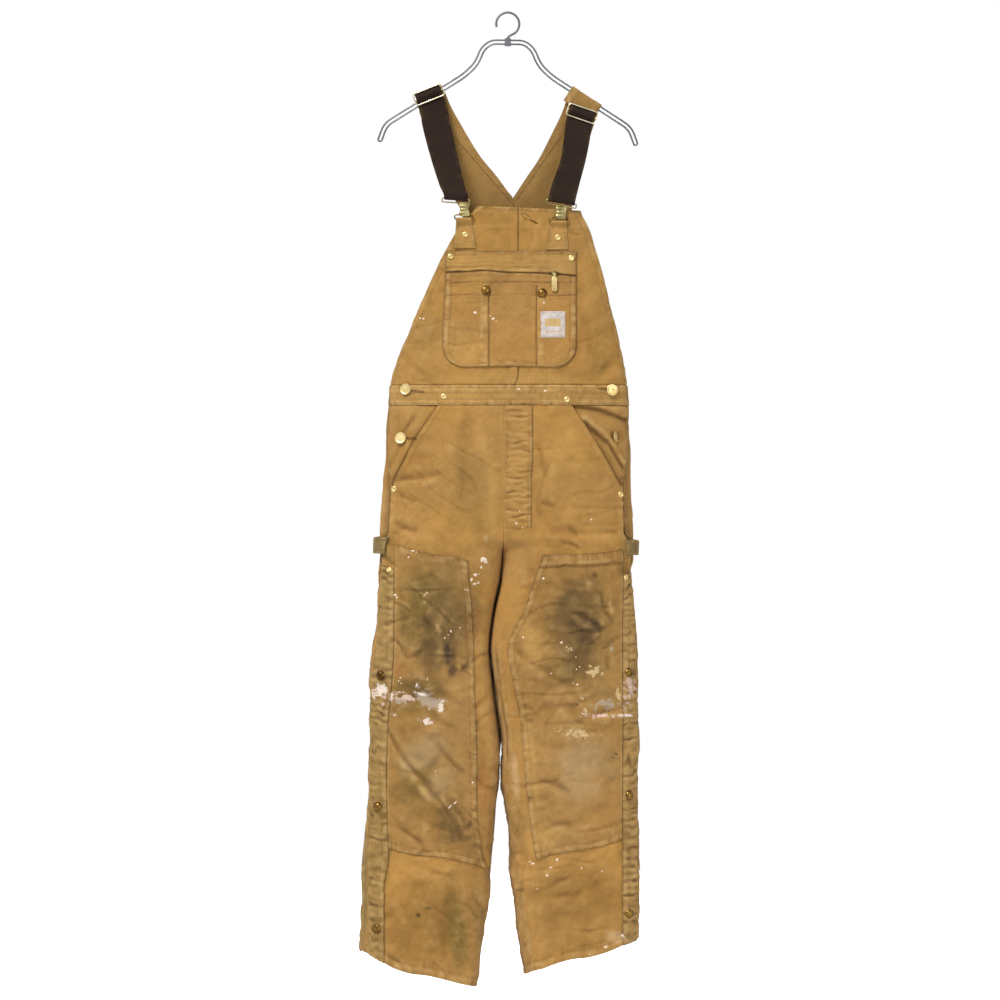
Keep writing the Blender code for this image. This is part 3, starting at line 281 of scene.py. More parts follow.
# Hashed values on a lattice, blended between its corners by 3t^2 - 2t^3: -1 to 1.
def noise(x, y, z, seed):
    parts = np.broadcast_arrays(x, y, z)
    cells = [np.floor(part) for part in parts]
    blends = [ease(part - cell) for part, cell in zip(parts, cells)]
    total = np.zeros(parts[0].shape)
    for corner in range(8):
        bits = (corner & 1, corner >> 1 & 1, corner >> 2 & 1)
        i, j, k = (cell + bit for cell, bit in zip(cells, bits))
        value = np.sin(i * 127.1 + j * 311.7 + k * 74.7 + seed * 19.19) * 43758.5453
        weight = 1.0
        for blend, bit in zip(blends, bits):
            weight = weight * (blend if bit else 1 - blend)
        total += weight * (2 * (value - np.floor(value)) - 1)
    return total


# Noises summed, one for each row of height, sizes along x, y and z, and seed.
def layers(x, y, z, rows):
    return sum(height * noise(x / wide, y / deep, z / tall, seed)
               for height, wide, deep, tall, seed in rows)


print("stage 2: creases, colours and paint")

# Creases laid one by one. Start and end x and z, sideways bow, width, height (a trough is minus)
# and how much sharper the crease is on its far side.
frontCreases = (
    (-197, -1172, -140, -1256, 5, 5, -3.4, 0.5), (-145, -1248, -77, -1349, -4, 5.5, -3.2, 0.5),
    (-190, -1196, -118, -1300, 4, 8, 2.6, 0.8), (-114, -1198, -68, -1250, 3, 5, -2.4, 0.6),
    (-129, -1262, -84, -1342, -3, 6, 2.4, 0.7), (-191, -1312, -132, -1362, 6, 6, -2.2, 0.6),
    (-176, -1290, -128, -1340, 3, 8, 1.8, 0.8), (-102, -1282, -64, -1335, -2, 5, -1.8, 0.7),
    (-132, -1405, -86, -1412, 2, 4.5, -1.6, 0.7), (-90, -1432, -100, -1566, 6, 12, -3.4, 0.8),
    (-64, -1462, -46, -1486, 2, 4, -1.5, 0.7), (-58, -1440, -44, -1468, 2, 4, -1.3, 0.7),
    (-190, -1450, -160, -1500, 4, 9, 1.6, 0.8), (-150, -1440, -128, -1540, -6, 14, 1.8, 0.9),
    (-186, -765, -101, -754, 4, 6, -1.9, 0.6), (-184, -776, -110, -768, 4, 7, 1.8, 0.8),
    (-181, -789, -147, -803, 2, 5, -1.9, 0.6), (-190, -835, -147, -851, 2, 6, -2, 0.6),
    (-186, -846, -150, -864, 2, 6, 1.6, 0.8), (-65, -652, -70, -790, 5, 13, -2.6, 0.8),
    (-36, -680, -34, -860, -3, 12, 2, 0.9), (-96, -700, -90, -860, 6, 22, 1.8, 0.9),
    (-30, -1048, -62, -1066, 2, 4.5, -1.8, 0.6), (-27, -1118, -58, -1144, 2, 5, -1.8, 0.6),
    (-187, -1026, -164, -1060, -3, 4.5, -2.9, 0.5), (-166, -1058, -138, -1044, 3, 5, -2.3, 0.6),
    (-178, -940, -172, -1030, -4, 6, -1.8, 0.7), (-150, -930, -120, -920, 2, 5, -1.6, 0.6),
    (-140, -985, -118, -1012, 2, 5, -2, 0.6), (-112, -990, -108, -1066, 3, 7, 1.9, 0.8),
    (-96, -1004, -86, -1080, -3, 5.5, -2.2, 0.6), (-76, -1000, -62, -1072, 3, 7, 1.6, 0.8),
    (-78, -1066, -58, -1092, 1, 4, -2.2, 0.6), (-150, -1076, -120, -1110, 2, 7, 1.6, 0.8),
    (-116, -1106, -70, -1136, 4, 7, -1.8, 0.7), (-90, -1150, -40, -1190, 5, 9, 1.7, 0.8),
    (-128, -1142, -92, -1172, 2, 5, -1.6, 0.7), (-54, -1150, -32, -1210, 3, 7, -1.5, 0.8),
    (-46, -1366, -24, -1416, 2, 4, -2.2, 0.5), (-38, -1390, -16, -1424, 2, 4, 1.6, 0.7),
    (-150, -660, -176, -700, 2, 5, -2.2, 0.6), (-160, -690, -190, -742, 3, 5, -2, 0.6),
    (46, -706, 62, -766, -3, 6, -2.4, 0.7), (54, -803, 78, -811, 1, 5, -2, 0.6),
    (50, -765, 58, -850, 4, 10, -1.6, 0.8), (80, -866, 118, -880, -2, 4.5, -2.6, 0.5),
    (98, -842, 114, -857, 1, 4.5, -1.6, 0.6), (158, -850, 180, -852, 1, 4, -1.3, 0.6),
    (60, -856, 102, -868, 2, 7, 1.8, 0.8), (90, -680, 100, -800, 8, 24, 1.8, 0.9),
    (128, -730, 170, -800, 4, 16, 1.5, 0.9), (104, -984, 140, -999, -3, 4.5, -2.2, 0.6),
    (138, -999, 153, -1020, -3, 4.5, -2, 0.6), (154, -1018, 130, -1036, -3, 4.5, -1.6, 0.6),
    (108, -996, 136, -1016, -2, 7, 1.2, 0.8), (152, -946, 160, -984, 2, 5, -2.4, 0.6),
    (158, -982, 172, -1004, -2, 4.5, -2.2, 0.6), (166, -960, 172, -996, 2, 5, 1.8, 0.8),
    (154, -1044, 174, -1030, 2, 4, -2, 0.6), (162, -1050, 164, -1080, 1, 4.5, -1.8, 0.6),
    (10, -1038, 56, -1076, 4, 6, -2, 0.6), (56, -1074, 112, -1104, 4, 6.5, -2.2, 0.6),
    (18, -1056, 70, -1098, 4, 9, 1.8, 0.8), (86, -930, 128, -940, 2, 6, -1.5, 0.7),
    (130, -928, 146, -962, 3, 6, 1.6, 0.8), (24, -1134, 44, -1144, 1, 4.5, -1.6, 0.6),
    (104, -1116, 132, -1130, 2, 5, -1.9, 0.6), (60, -1150, 130, -1170, 5, 11, 1.6, 0.9),
    (44, -1190, 96, -1204, 4, 8, -1.7, 0.8), (47, -1257, 102, -1277, -4, 6, -2.2, 0.6),
    (50, -1270, 96, -1290, -3, 8, 1.6, 0.8), (58, -1326, 134, -1321, 4, 8, -1.8, 0.7),
    (70, -1340, 140, -1336, 3, 9, 1.5, 0.8), (140, -1152, 170, -1140, 2, 5, -1.8, 0.6),
    (110, -1240, 160, -1290, 4, 16, 1.6, 0.9), (60, -1420, 120, -1446, 4, 12, -1.6, 0.9),
    (104, -1450, 172, -1418, -5, 9, -2, 0.8), (44, -1450, 70, -1560, 5, 14, 1.8, 0.9),
    (120, -1470, 134, -1540, -4, 14, -1.6, 0.9), (24, -1156, 42, -1162, 1, 4, -1.6, 0.7),
    (10, -1440, 26, -1438, 1, 3, -1.5, 0.6), (99, -358, 116, -367, 1, 4, -1.6, 0.6),
    (-60, -450, -20, -540, 8, 26, 1.6, 0.9), (60, -470, 100, -560, -6, 24, 1.6, 0.9),
    (-110, -470, -150, -590, -6, 16, 2, 0.9), (-96, -450, -128, -560, -4, 12, -1.8, 0.9),
    (130, -450, 160, -580, 5, 16, 2, 0.9), (118, -440, 142, -560, 4, 11, -1.8, 0.9),
    (-60, -340, -30, -380, 4, 12, 1.2, 0.9), (40, -350, 60, -386, 4, 12, 1.2, 0.9),
    (-170, -560, -120, -606, 4, 9, -1.8, 0.7), (176, -566, 130, -606, -4, 9, -1.8, 0.7),
)
backCreases = (
    (-150, -420, -110, -560, 8, 18, 2, 0.9), (150, -440, 120, -590, -8, 18, 2, 0.9),
    (-60, -360, -40, -520, 6, 24, 1.6, 0.9), (70, -370, 60, -540, -6, 24, -1.6, 0.9),
    (-190, -680, -90, -720, 8, 10, -2.2, 0.7), (190, -690, 90, -735, -8, 10, -2.2, 0.7),
    (-40, -760, -110, -850, 6, 12, -2.4, 0.7), (30, -770, 100, -860, -6, 12, -2.4, 0.7),
    (-30, -860, -120, -905, 6, 9, -2.8, 0.6), (16, -862, 110, -908, -6, 9, -2.8, 0.6),
    (-190, -1000, -80, -1040, 8, 8, -2.8, 0.6), (190, -1010, 70, -1050, -8, 8, -2.8, 0.6),
    (-60, -1060, -180, -1110, 8, 8, -2.4, 0.6), (40, -1070, 170, -1120, -8, 8, -2.4, 0.6),
    (-200, -1150, -100, -1135, 6, 10, 2.2, 0.8), (196, -1160, 100, -1145, -6, 10, 2.2, 0.8),
    (-190, -1290, -90, -1370, 8, 12, -2.4, 0.7), (180, -1280, 80, -1360, -8, 12, -2.4, 0.7),
    (-120, -1400, -100, -1560, 8, 20, 2.2, 0.9), (120, -1400, 100, -1550, -8, 20, 2.2, 0.9),
)


# Each crease: height * exp(-(off / width)^2), off from a line bowed by 4 bow t (1 - t).
def creaseHeight(table, x, z):
    total = np.zeros(x.shape)
    for x0, z0, x1, z1, bow, width, height, sharp in table:
        t, off = offLine(x, z, x0, z0, x1, z1)
        off = off - bow * 4 * t * (1 - t)
        size = 1.5 * width * np.where(off > 0, sharp, 1.0) * (0.8 + 0.2 * np.sin(t * 9 + x0))
        lip = 0.4 * bell(off + 2.1 * width, 1.5 * width)
        fade = ease((t + 0.14) / 0.4) * ease((1.14 - t) / 0.4)
        total += 0.85 * height * (bell(off, size) - lip) * fade
    return total


# Long soft creases where a stretched noise passes zero: -exp(-(n / 0.17)^2), here and there.
def crumple(x, y, z, turn, seed):
    cosine, sine = math.cos(math.radians(turn)), math.sin(math.radians(turn))
    along, across = x * cosine + z * sine, z * cosine - x * sine
    across = across + 7 * noise(along / 34, y / 40, across / 60, seed)
    value = noise(along / 88, y / 50, across / 27, seed + 1)
    some = ease(0.35 + 1.5 * noise(x / 70, y / 70, z / 60, seed + 2))
    return (0.35 - bell(value, 0.17)) * some


# Drape of the whole garment: broad, middle and small rumples and the listed creases.
# It calms down where the legs lie close together, so they never cut through each other.
def drape(points):
    x, y, z = np.moveaxis(points, -1, 0)
    onLegs = ease((-800 - z) / 120)
    total = layers(x, y, z, ((1.7, 95, 95, 150, 1), (1.3, 42, 60, 52, 2), (0.7, 21, 26, 17, 3),
                             (0.3, 9, 11, 8, 4)))
    total *= 1 + 0.25 * onLegs
    total += (0.7 + 0.7 * onLegs) * crumple(x, y, z, np.sign(x).mean() * 24 - 10, 81)
    total += (0.5 + 0.7 * onLegs) * crumple(x, y, z, 4, 91) + 0.5 * crumple(x, y, z, 68, 95)
    total += mix(creaseHeight(backCreases, x, z), creaseHeight(frontCreases, x, z), ease(0.5 - y / 18))
    between = bell(x + 12, 20) * ease((-846 - z) / 30) * ease((z + 1240) / 60)
    return total * (1 - 0.9 * between) - 0.5 * between


def rgb(red, green, blue):        # a screen colour as the linear colour a shader takes
    colour = np.array((red, green, blue)) / 255
    return np.where(colour <= 0.04045, colour / 12.92, ((colour + 0.055) / 1.055) ** 2.4)


# one pale tone below is what wear and painted highlight lighten toward, and one dark brown is what painted
# shade darkens toward
dyes = {
    "canvas": (179, 134, 75), "bib": (175, 131, 71), "thigh": (179, 134, 74),
    "knee": (167, 126, 73), "flap": (160, 128, 78), "band": (181, 139, 80),
    "pocket": (176, 131, 73), "flapPale": (176, 138, 86), "dirt": (138, 110, 64),
    "strap": (164, 127, 76), "inside": (132, 102, 62), "facing": (160, 120, 70),
    "olive": (134, 108, 58), "grime": (112, 88, 57), "grease": (80, 62, 48),
    "fade": (173, 143, 104), "sunned": (200, 157, 92), "brown": (150, 106, 56),
    "shin": (150, 111, 58), "worn": (206, 170, 116), "groove": (92, 62, 32),
    "khaki": (134, 114, 76), "spot": (66, 48, 32), "thread": (206, 166, 106),
    "frayed": (212, 180, 140), "webbing": (45, 32, 28), "red": (172, 112, 62),
}
dyes = {name: rgb(*tone) * (0.985, 0.985, 0.885) for name, tone in dyes.items()}    # less blue
dyes.update(label=rgb(206, 198, 196), zip=rgb(104, 68, 38))
darkeningDyes = ("olive", "grime", "grease")
# Soft patches of colour on the front: dye, x, z, half sizes, turn in degrees, strength. Most
# are stains, soil and fading; the olive strips along both side seams and down the left thigh
# and the left shin are painted shade.
frontStains = (
    ("dirt", -118, -985, 96, 132, 4, 0.75), ("dirt", 122, -1010, 84, 120, 0, 0.6),
    ("dirt", -120, -1270, 80, 110, -10, 0.45), ("shin", -96, -1330, 44, 70, -30, 0.6),
    ("shin", 118, -1440, 110, 60, 0, 0.62), ("dirt", -60, -790, 60, 90, 0, 0.3),
    ("shin", -176, -730, 40, 120, 0, 0.35), ("shin", 60, -1000, 40, 90, -12, 0.25),
    ("shin", 20, -1100, 20, 160, 0, 0.3), ("olive", -150, -1120, 62, 46, 0, 0.6),
    ("grime", -134, -1106, 40, 38, 0, 0.45), ("olive", -92, -1480, 16, 80, -4, 0.5),
    ("olive", -130, -962, 46, 50, 0, 0.65), ("grime", -128, -1046, 38, 44, 0, 0.6),
    ("grease", -98, -1050, 11, 36, -4, 0.75), ("sunned", -56, -1040, 20, 30, 0, 0.35),
    ("sunned", -70, -1110, 34, 22, 0, 0.4), ("grime", 120, -972, 64, 62, 0, 0.5),
    ("grease", 128, -1002, 34, 26, -12, 0.4), ("olive", 88, -1074, 44, 36, 0, 0.6),
    ("sunned", 40, -1030, 26, 44, 0, 0.45), ("grime", -88, -1346, 34, 36, 0, 0.7),
    ("olive", -166, -1278, 34, 26, -30, 0.5), ("red", -40, -1270, 13, 70, 0, 0.4),
    ("olive", -196, -880, 16, 60, 0, 0.4), ("olive", 190, -900, 14, 60, 0, 0.35),
    ("brown", -176, -860, 30, 26, 0, 0.35), ("olive", -200, -1360, 14, 90, 0, 0.5),
    ("olive", 192, -1350, 14, 90, 0, 0.4), ("khaki", 168, -1240, 26, 40, 0, 0.3),
    ("brown", 60, -1500, 30, 60, 0, 0.3), ("olive", 20, -1330, 16, 60, 0, 0.25),
    ("brown", -160, -1430, 40, 16, 0, 0.3), ("olive", 0, -690, 12, 40, 0, 0.25),
    ("olive", -69, -730, 22, 104, 4, 0.2), ("olive", -50, -840, 28, 46, 0, 0.3),
    ("thigh", -118, -740, 60, 90, 0, 0.3), ("brown", -150, -730, 34, 60, -20, 0.25),
    ("sunned", -24, -790, 13, 110, 0, 0.4), ("sunned", 20, -760, 24, 100, 0, 0.22),
    ("brown", 66, -812, 20, 44, 12, 0.3), ("brown", 92, -858, 34, 20, 20, 0.25),
    ("sunned", 100, -720, 40, 60, 0, 0.3), ("sunned", 150, -840, 40, 34, 0, 0.25),
    ("grime", -98, -1000, 68, 82, 8, 0.62), ("grime", -120, -960, 60, 40, 20, 0.35),
    ("olive", -150, -990, 34, 60, 0, 0.5), ("grease", -136, -1000, 26, 30, 30, 0.35),
    ("grease", -98, -1048, 7, 25, -4, 0.85), ("grease", -90, -1078, 10, 12, 10, 0.75),
    ("grease", -70, -1070, 6, 14, 40, 0.5), ("grime", -118, -1060, 16, 40, 0, 0.4),
    ("red", -60, -1010, 20, 40, 0, 0.3), ("red", -174, -1075, 14, 22, 0, 0.4),
    ("grime", -150, -1110, 40, 26, -20, 0.4), ("fade", -140, -1214, 58, 42, -40, 0.85),
    ("fade", -112, -1262, 42, 32, -50, 0.6), ("olive", -150, -1260, 44, 24, -40, 0.4),
    ("grime", -92, -1316, 26, 44, -30, 0.6), ("grease", -62, -1328, 7, 9, 0, 0.65),
    ("brown", -52, -1230, 24, 60, 0, 0.35), ("shin", -150, -1500, 86, 100, 0, 0.75),
    ("shin", -90, -1470, 60, 80, 0, 0.5), ("olive", -80, -1498, 22, 88, 0, 0.9),
    ("khaki", -44, -1500, 16, 90, -8, 0.3), ("khaki", -238, -1400, 13, 220, 0, 0.85),
    ("khaki", -226, -1120, 10, 120, 0, 0.45), ("spot", -146, -1477, 4.5, 3.4, 30, 0.8),
    ("spot", -128, -1466, 5.5, 2.6, 10, 0.7), ("spot", -131, -1341, 2.8, 2.4, 0, 0.5),
    ("grime", 110, -1012, 66, 94, -6, 0.55), ("grime", 112, -1060, 52, 40, 0, 0.4),
    ("grease", 126, -1006, 28, 30, -20, 0.42), ("grease", 133, -1031, 18, 10, -10, 0.45),
    ("grease", 142, -923, 5.5, 8, 0, 0.6), ("grease", 104, -955, 17, 16, 0, 0.42),
    ("brown", 19, -1045, 10, 14, 0, 0.5), ("brown", 66, -1090, 44, 10, -30, 0.45),
    ("fade", 124, -1224, 60, 50, 0, 0.85), ("fade", 112, -1268, 48, 40, 0, 0.6),
    ("khaki", 150, -1120, 44, 30, 0, 0.35), ("spot", 176, -1214, 5, 2.4, 35, 0.9),
    ("spot", 171, -1220, 3.4, 1.8, 10, 0.8), ("spot", 114, -798, 1.8, 3.6, 0, 0.8),
    ("spot", 113, -1134, 4.5, 2.8, 20, 0.75), ("sunned", 60, -1350, 30, 40, 0, 0.4),
    ("sunned", 40, -1230, 10, 110, -6, 0.35), ("shin", 130, -1490, 90, 90, 0, 0.5),
    ("brown", 150, -1440, 34, 20, 20, 0.35), ("frayed", 184, -1516, 34, 13, 22, 0.5),
    ("brown", 213, -1300, 6, 260, 0, 0.6), ("frayed", 14, -1256, 8, 60, -4, 0.45),
    ("olive", -40, -450, 60, 40, 0, 0.2), ("sunned", -90, -560, 60, 34, 0, 0.3),
    ("brown", 120, -540, 30, 60, 0, 0.25), ("olive", 150, -560, 24, 50, 0, 0.25),
    ("sunned", 0, -600, 160, 14, 0, 0.3), ("brown", -150, -600, 36, 22, 0, 0.2),
    ("olive", -130, -520, 22, 60, 14, 0.3), ("frayed", -36, -862, 5, 9, 0, 0.3),
)
# Dried paint that soaked in: colour, x, z, half sizes, turn, thickness.
paints = {"white": rgb(238, 222, 208), "pink": rgb(220, 188, 172), "cream": rgb(208, 180, 130),
          "grey": rgb(176, 156, 134), "violet": rgb(156, 140, 124)}
frontPaint = (
    ("white", -208, -1111, 15, 13, 0, 1.0), ("pink", -172, -1123, 25, 9, 4, 1.15),
    ("grey", -128, -1127, 31, 16, 24, 1.05), ("white", -110, -1137, 9, 11, 10, 0.95),
    ("white", -138, -1117, 16, 4.2, 14, 1.0), ("white", -136, -1161, 16, 7.5, 10, 0.78),
    ("pink", 200, -1108, 12, 18, 0, 1.05), ("grey", 166, -1134, 42, 16, 0, 0.78),
    ("cream", 142, -1080, 19, 7, -18, 1.0), ("cream", 96, -1040, 14, 14, 0, 0.45),
    ("pink", 150, -1152, 46, 5.5, 4, 0.72), ("cream", 110, -1178, 46, 13, 8, 0.62),
    ("white", -206, -1108, 12, 6.5, -4, 1.1), ("white", -216, -1121, 4, 6, 0, 0.9),
    ("pink", -201, -1121, 5, 7, 0, 0.9), ("pink", -203, -1134, 4, 4.5, 0, 0.8),
    ("grey", -173, -1125, 22, 13, 0, 0.95), ("white", -189, -1121, 3.6, 10, 10, 0.8),
    ("pink", -172, -1114, 17, 2.2, 8, 0.8), ("white", -149, -1102, 3.4, 7, 20, 1.0),
    ("violet", -126, -1124, 31, 10, 36, 0.95), ("white", -108, -1134, 6.5, 11, 0, 0.9),
    ("white", -126, -1143, 4.6, 6.5, 30, 0.8), ("grey", -137, -1160, 15, 10, 20, 0.5),
    ("cream", -133, -1090, 2.8, 8, 15, 0.9), ("pink", -184, -1150, 12, 5, -10, 0.5),
    ("cream", -135, -955, 11, 3.2, -44, 0.85), ("cream", -136, -967, 2.4, 5, 0, 0.7),
    ("cream", -184, -955, 3.6, 3.4, 0, 0.8), ("white", -40, -898, 7.5, 5.2, 20, 1.1),
    ("white", -53, -923, 3.6, 3.0, 0, 0.9), ("white", -60, -930, 2.6, 5.0, -20, 0.9),
    ("pink", -54, -938, 5.0, 2.6, 10, 0.9), ("white", -43, -910, 2.4, 3.6, 0, 0.8),
    ("white", -155, -883, 4.8, 2.0, 0, 0.8), ("cream", -162, -893, 2.4, 3.4, 0, 0.7),
    ("pink", 198, -1096, 10, 7, 0, 1.0), ("pink", 198, -1111, 9, 6, 6, 0.95),
    ("pink", 190, -1122, 4.5, 5, 0, 0.85), ("pink", 194, -1131, 5, 3.6, 0, 0.8),
    ("cream", 180, -1120, 5, 26, -8, 0.8), ("grey", 152, -1130, 18, 9, 0, 0.62),
    ("cream", 122, -1124, 10, 3.2, 36, 0.85), ("cream", 126, -1143, 3.4, 10, -18, 0.8),
    ("grey", 99, -1162, 12, 5, 10, 0.55), ("white", 192, -1152, 18, 3.2, 4, 0.95),
    ("cream", 134, -1071, 6, 3.6, 30, 0.95), ("cream", 144, -1079, 9, 4.6, 0, 0.95),
    ("cream", 139, -1087, 3.4, 4.6, 0, 0.85), ("cream", 153, -1083, 4.0, 5.0, -30, 0.8),
    ("cream", 149, -1072, 3.0, 4.4, -40, 0.7), ("grey", 170, -1044, 6, 10, 0, 0.45),
    ("cream", 80.5, -1387, 3.0, 3.4, 0, 0.9), ("cream", 35, -600, 6, 1.9, 5, 0.7),
    ("white", 159, -1529, 5, 3.6, 0, 0.7), ("white", 187, -1511, 7, 4.6, 20, 0.7),
    ("pink", 110, -1180, 40, 8, 10, 0.35), ("grey", 160, -1165, 22, 8, 0, 0.45),
)


# The signed closeness to an ellipse, 1 at its middle and 0 at its rim, its rim made uneven.
def inEllipse(x, z, wobble, place):
    centreX, centreZ, halfX, halfZ, turn = place
    cosine, sine = math.cos(math.radians(turn)), math.sin(math.radians(turn))
    across = ((x - centreX) * cosine - (z - centreZ) * sine) / halfX
    up = ((x - centreX) * sine + (z - centreZ) * cosine) / halfZ
    return 1 - np.hypot(across, up) + wobble


# Colour of the cloth: its own dye, mottled by noise, then the soft patches one by one. The
# fourth number is how soiled it is, raised too by the olive patches that are painted shade.
def dyeAt(points, tint, stains=1.0):
    x, y, z = np.moveaxis(points, -1, 0)
    onFront = ease(0.5 - y / 10)[..., None] * stains
    mottle = layers(x, y, z, ((0.10, 60, 60, 70, 11), (0.07, 19, 20, 19, 12), (0.05, 6.5, 7, 6.5, 13)))
    dusty = ease(0.5 + 1.2 * noise(x / 85, y / 80, z / 60, 14))[..., None]
    colour = mix(dyes[tint] * (1 + mottle)[..., None], dyes["fade"], 0.12 * dusty * stains)
    wobble = layers(x, y, z, ((0.42, 24, 30, 24, 17), (0.26, 11, 30, 11, 15), (0.16, 4.5, 20, 4.5, 16)))
    soilAndShade = 0.12 + 0.12 * dusty
    for dye, *place, strength in frontStains if stains else ():
        smooth = min(1.0, 34.0 / max(place[2], place[3]))
        near = ease(inEllipse(x, z, wobble * smooth, place) / 0.7)[..., None] * strength * onFront
        colour = mix(colour, dyes[dye] * (1 + 0.6 * mottle)[..., None], near)
        if dye in darkeningDyes:
            soilAndShade = mix(soilAndShade, 1, near)
    return np.concatenate([colour, soilAndShade], -1)


def paintAt(points):              # paint colour, and in alpha its field: above 0.5 is paint
    x, y, z = np.moveaxis(points, -1, 0)
    colour = np.zeros(x.shape + (3,)) + paints["white"]
    field = np.zeros(x.shape)
    wobble = layers(x, 0, z, ((0.3, 11, 1, 8, 21), (0.3, 4.5, 1, 4, 22)))
    for paint, *place, thick in frontPaint:
        near = inEllipse(x, z, wobble, place) * 0.9 * thick * (y < 8)
        colour = np.where((near > field)[..., None], paints[paint], colour)
        field = np.maximum(field, near)
    return np.concatenate([colour, np.clip(0.2 + field * 0.8, 0, 1)[..., None]], -1)


print("stage 3: materials")
tree = None


def newMaterial(name):            # an empty material whose nodes the helpers below add
    global tree
    material = bpy.data.materials.new(name)
    material.use_nodes = True
    tree = material.node_tree
    return material, tree.nodes["Principled BSDF"]


def feed(item, values):           # links another node's output, or sets a plain value
    for socket, value in values.items():
        if isinstance(value, bpy.types.NodeSocket):
            tree.links.new(value, item.inputs[socket])
        else:
            item.inputs[socket].default_value = value
    return item


def node(kind, values=(), **settings):
    item = tree.nodes.new("ShaderNode" + kind)
    for name, value in settings.items():
        setattr(item, name, value)
    return feed(item, dict(values))


def math2(operation, first, *others):
    for other in others:
        first = node("Math", {0: first, 1: other}, operation=operation).outputs[0]
    return first


def plus(*parts):
    return math2("ADD", *parts)


def times(*parts):
    return math2("MULTIPLY", *parts)


def mixed(factor, first, second, blend="MIX"):
    return node("Mix", {0: factor, 6: first, 7: second}, data_type="RGBA", blend_type=blend).outputs[2]


def ranged(value, low, high, newLow=0.0, newHigh=1.0):
    return node("MapRange", {0: value, 1: low, 2: high, 3: newLow, 4: newHigh}).outputs[0]


def noiseOf(vector, scale, detail=3.0, rough=0.6):
    return node("TexNoise", {"Vector": vector, "Scale": scale, "Detail": detail,
                             "Roughness": rough}).outputs["Fac"]


def stretched(vector, scale):
    return node("Mapping", {"Vector": vector, "Scale": scale}).outputs[0]


def bumped(height, strength, distance):
    return node("Bump", {"Height": height, "Strength": strength, "Distance": distance}).outputs[0]


def opaque(tone):
    return (*rgb(*tone), 1.0)


# Plain weave from the flat map: crossed bands of warp and weft, each thread 0.6 mm, with
# uneven slubs. The weave, slubs and nap go to the bump; thinner places show a paler thread.
def clothMaterial(name, thread, nap, rough, bump, sheen, painted=False):
    material, shader = newMaterial(name)
    flat = node("UVMap", uv_map="flat").outputs[0]
    place = node("TexCoord").outputs["Object"]
    bands = {"Vector": flat, "Scale": 0.314 / thread, "Distortion": 0.6, "Detail": 1.0, "Detail Scale": 2.0}
    weave = times(*(node("TexWave", bands, bands_direction=way).outputs["Fac"] for way in ("X", "Y")))
    slub = plus(*(noiseOf(stretched(flat, scale), 1.0) for scale in ((900, 90, 1), (90, 900, 1))))
    fuzz = noiseOf(place, nap, 4.0, 0.7)
    cloud = noiseOf(place, 26.0, 4.0, 0.65)
    stain = node("Attribute", attribute_name="dye").outputs
    blotch = plus(ranged(noiseOf(place, 55.0, 6.0, 0.7), 0.36, 0.66),
                  ranged(noiseOf(place, 210.0, 4.0, 0.7), 0.42, 0.68))
    soilAndShade = times(stain["Alpha"], ranged(blotch, 0.5, 1.7, 0.0, 0.62))
    shade = plus(ranged(slub, 0.7, 1.3, 0.86, 1.12), ranged(weave, 0, 1, -0.07, 0.05),
                 ranged(fuzz, 0.3, 0.7, -0.05, 0.05), ranged(cloud, 0.3, 0.7, -0.06, 0.06))
    tone = node("CombineColor", {0: shade, 1: shade, 2: shade}).outputs[0]
    base = mixed(1.0, stain["Color"], tone, "MULTIPLY")
    base = mixed(soilAndShade, base, mixed(1.0, base, (0.5, 0.49, 0.5, 1.0), "MULTIPLY"))
    height = plus(times(weave, 0.35), times(slub, 0.5), times(fuzz, 0.6))
    if painted:
        paint = node("Attribute", attribute_name="paint").outputs
        field = plus(paint["Alpha"], plus(
            ranged(noiseOf(place, 170.0, 5.0, 0.75), 0.3, 0.7, -0.34, 0.36),
            ranged(noiseOf(place, 800.0, 3.0, 0.7), 0.3, 0.7, -0.16, 0.12)))
        cover = times(ranged(field, 0.42, 0.58), ranged(paint["Alpha"], 0.22, 0.3),
                      ranged(slub, 0.72, 1.05, 0.6, 1.0))
        base = mixed(cover, base, paint["Color"])
        height = plus(height, times(cover, 0.5))
        rough = ranged(cover, 0, 1, rough, 0.6)
    feed(shader, {"Base Color": base, "Normal": bumped(height, bump, 0.0006), "Roughness": rough,
                  "Sheen Weight": sheen, "Sheen Roughness": 0.6, "Specular IOR Level": 0.12})
    return material


# Worn metal: tone varied by noise, dark tarnish where the noise is low, fine scratches.
def metalMaterial(name, tone, tarnish, cloudScale, rough, metal=1.0):
    material, shader = newMaterial(name)
    place = node("TexCoord").outputs["Object"]
    cloud = noiseOf(place, cloudScale, 5.0, 0.65)
    scratch = noiseOf(stretched(place, (1, 1, 9)), 900.0, 2.0)
    feed(shader, {"Base Color": mixed(ranged(cloud, 0.35, 0.68), opaque(tarnish), opaque(tone)),
                  "Roughness": ranged(cloud, 0.3, 0.7, rough + 0.18, rough),
                  "Normal": bumped(scratch, 0.05, 0.0001), "Metallic": metal})
    return material


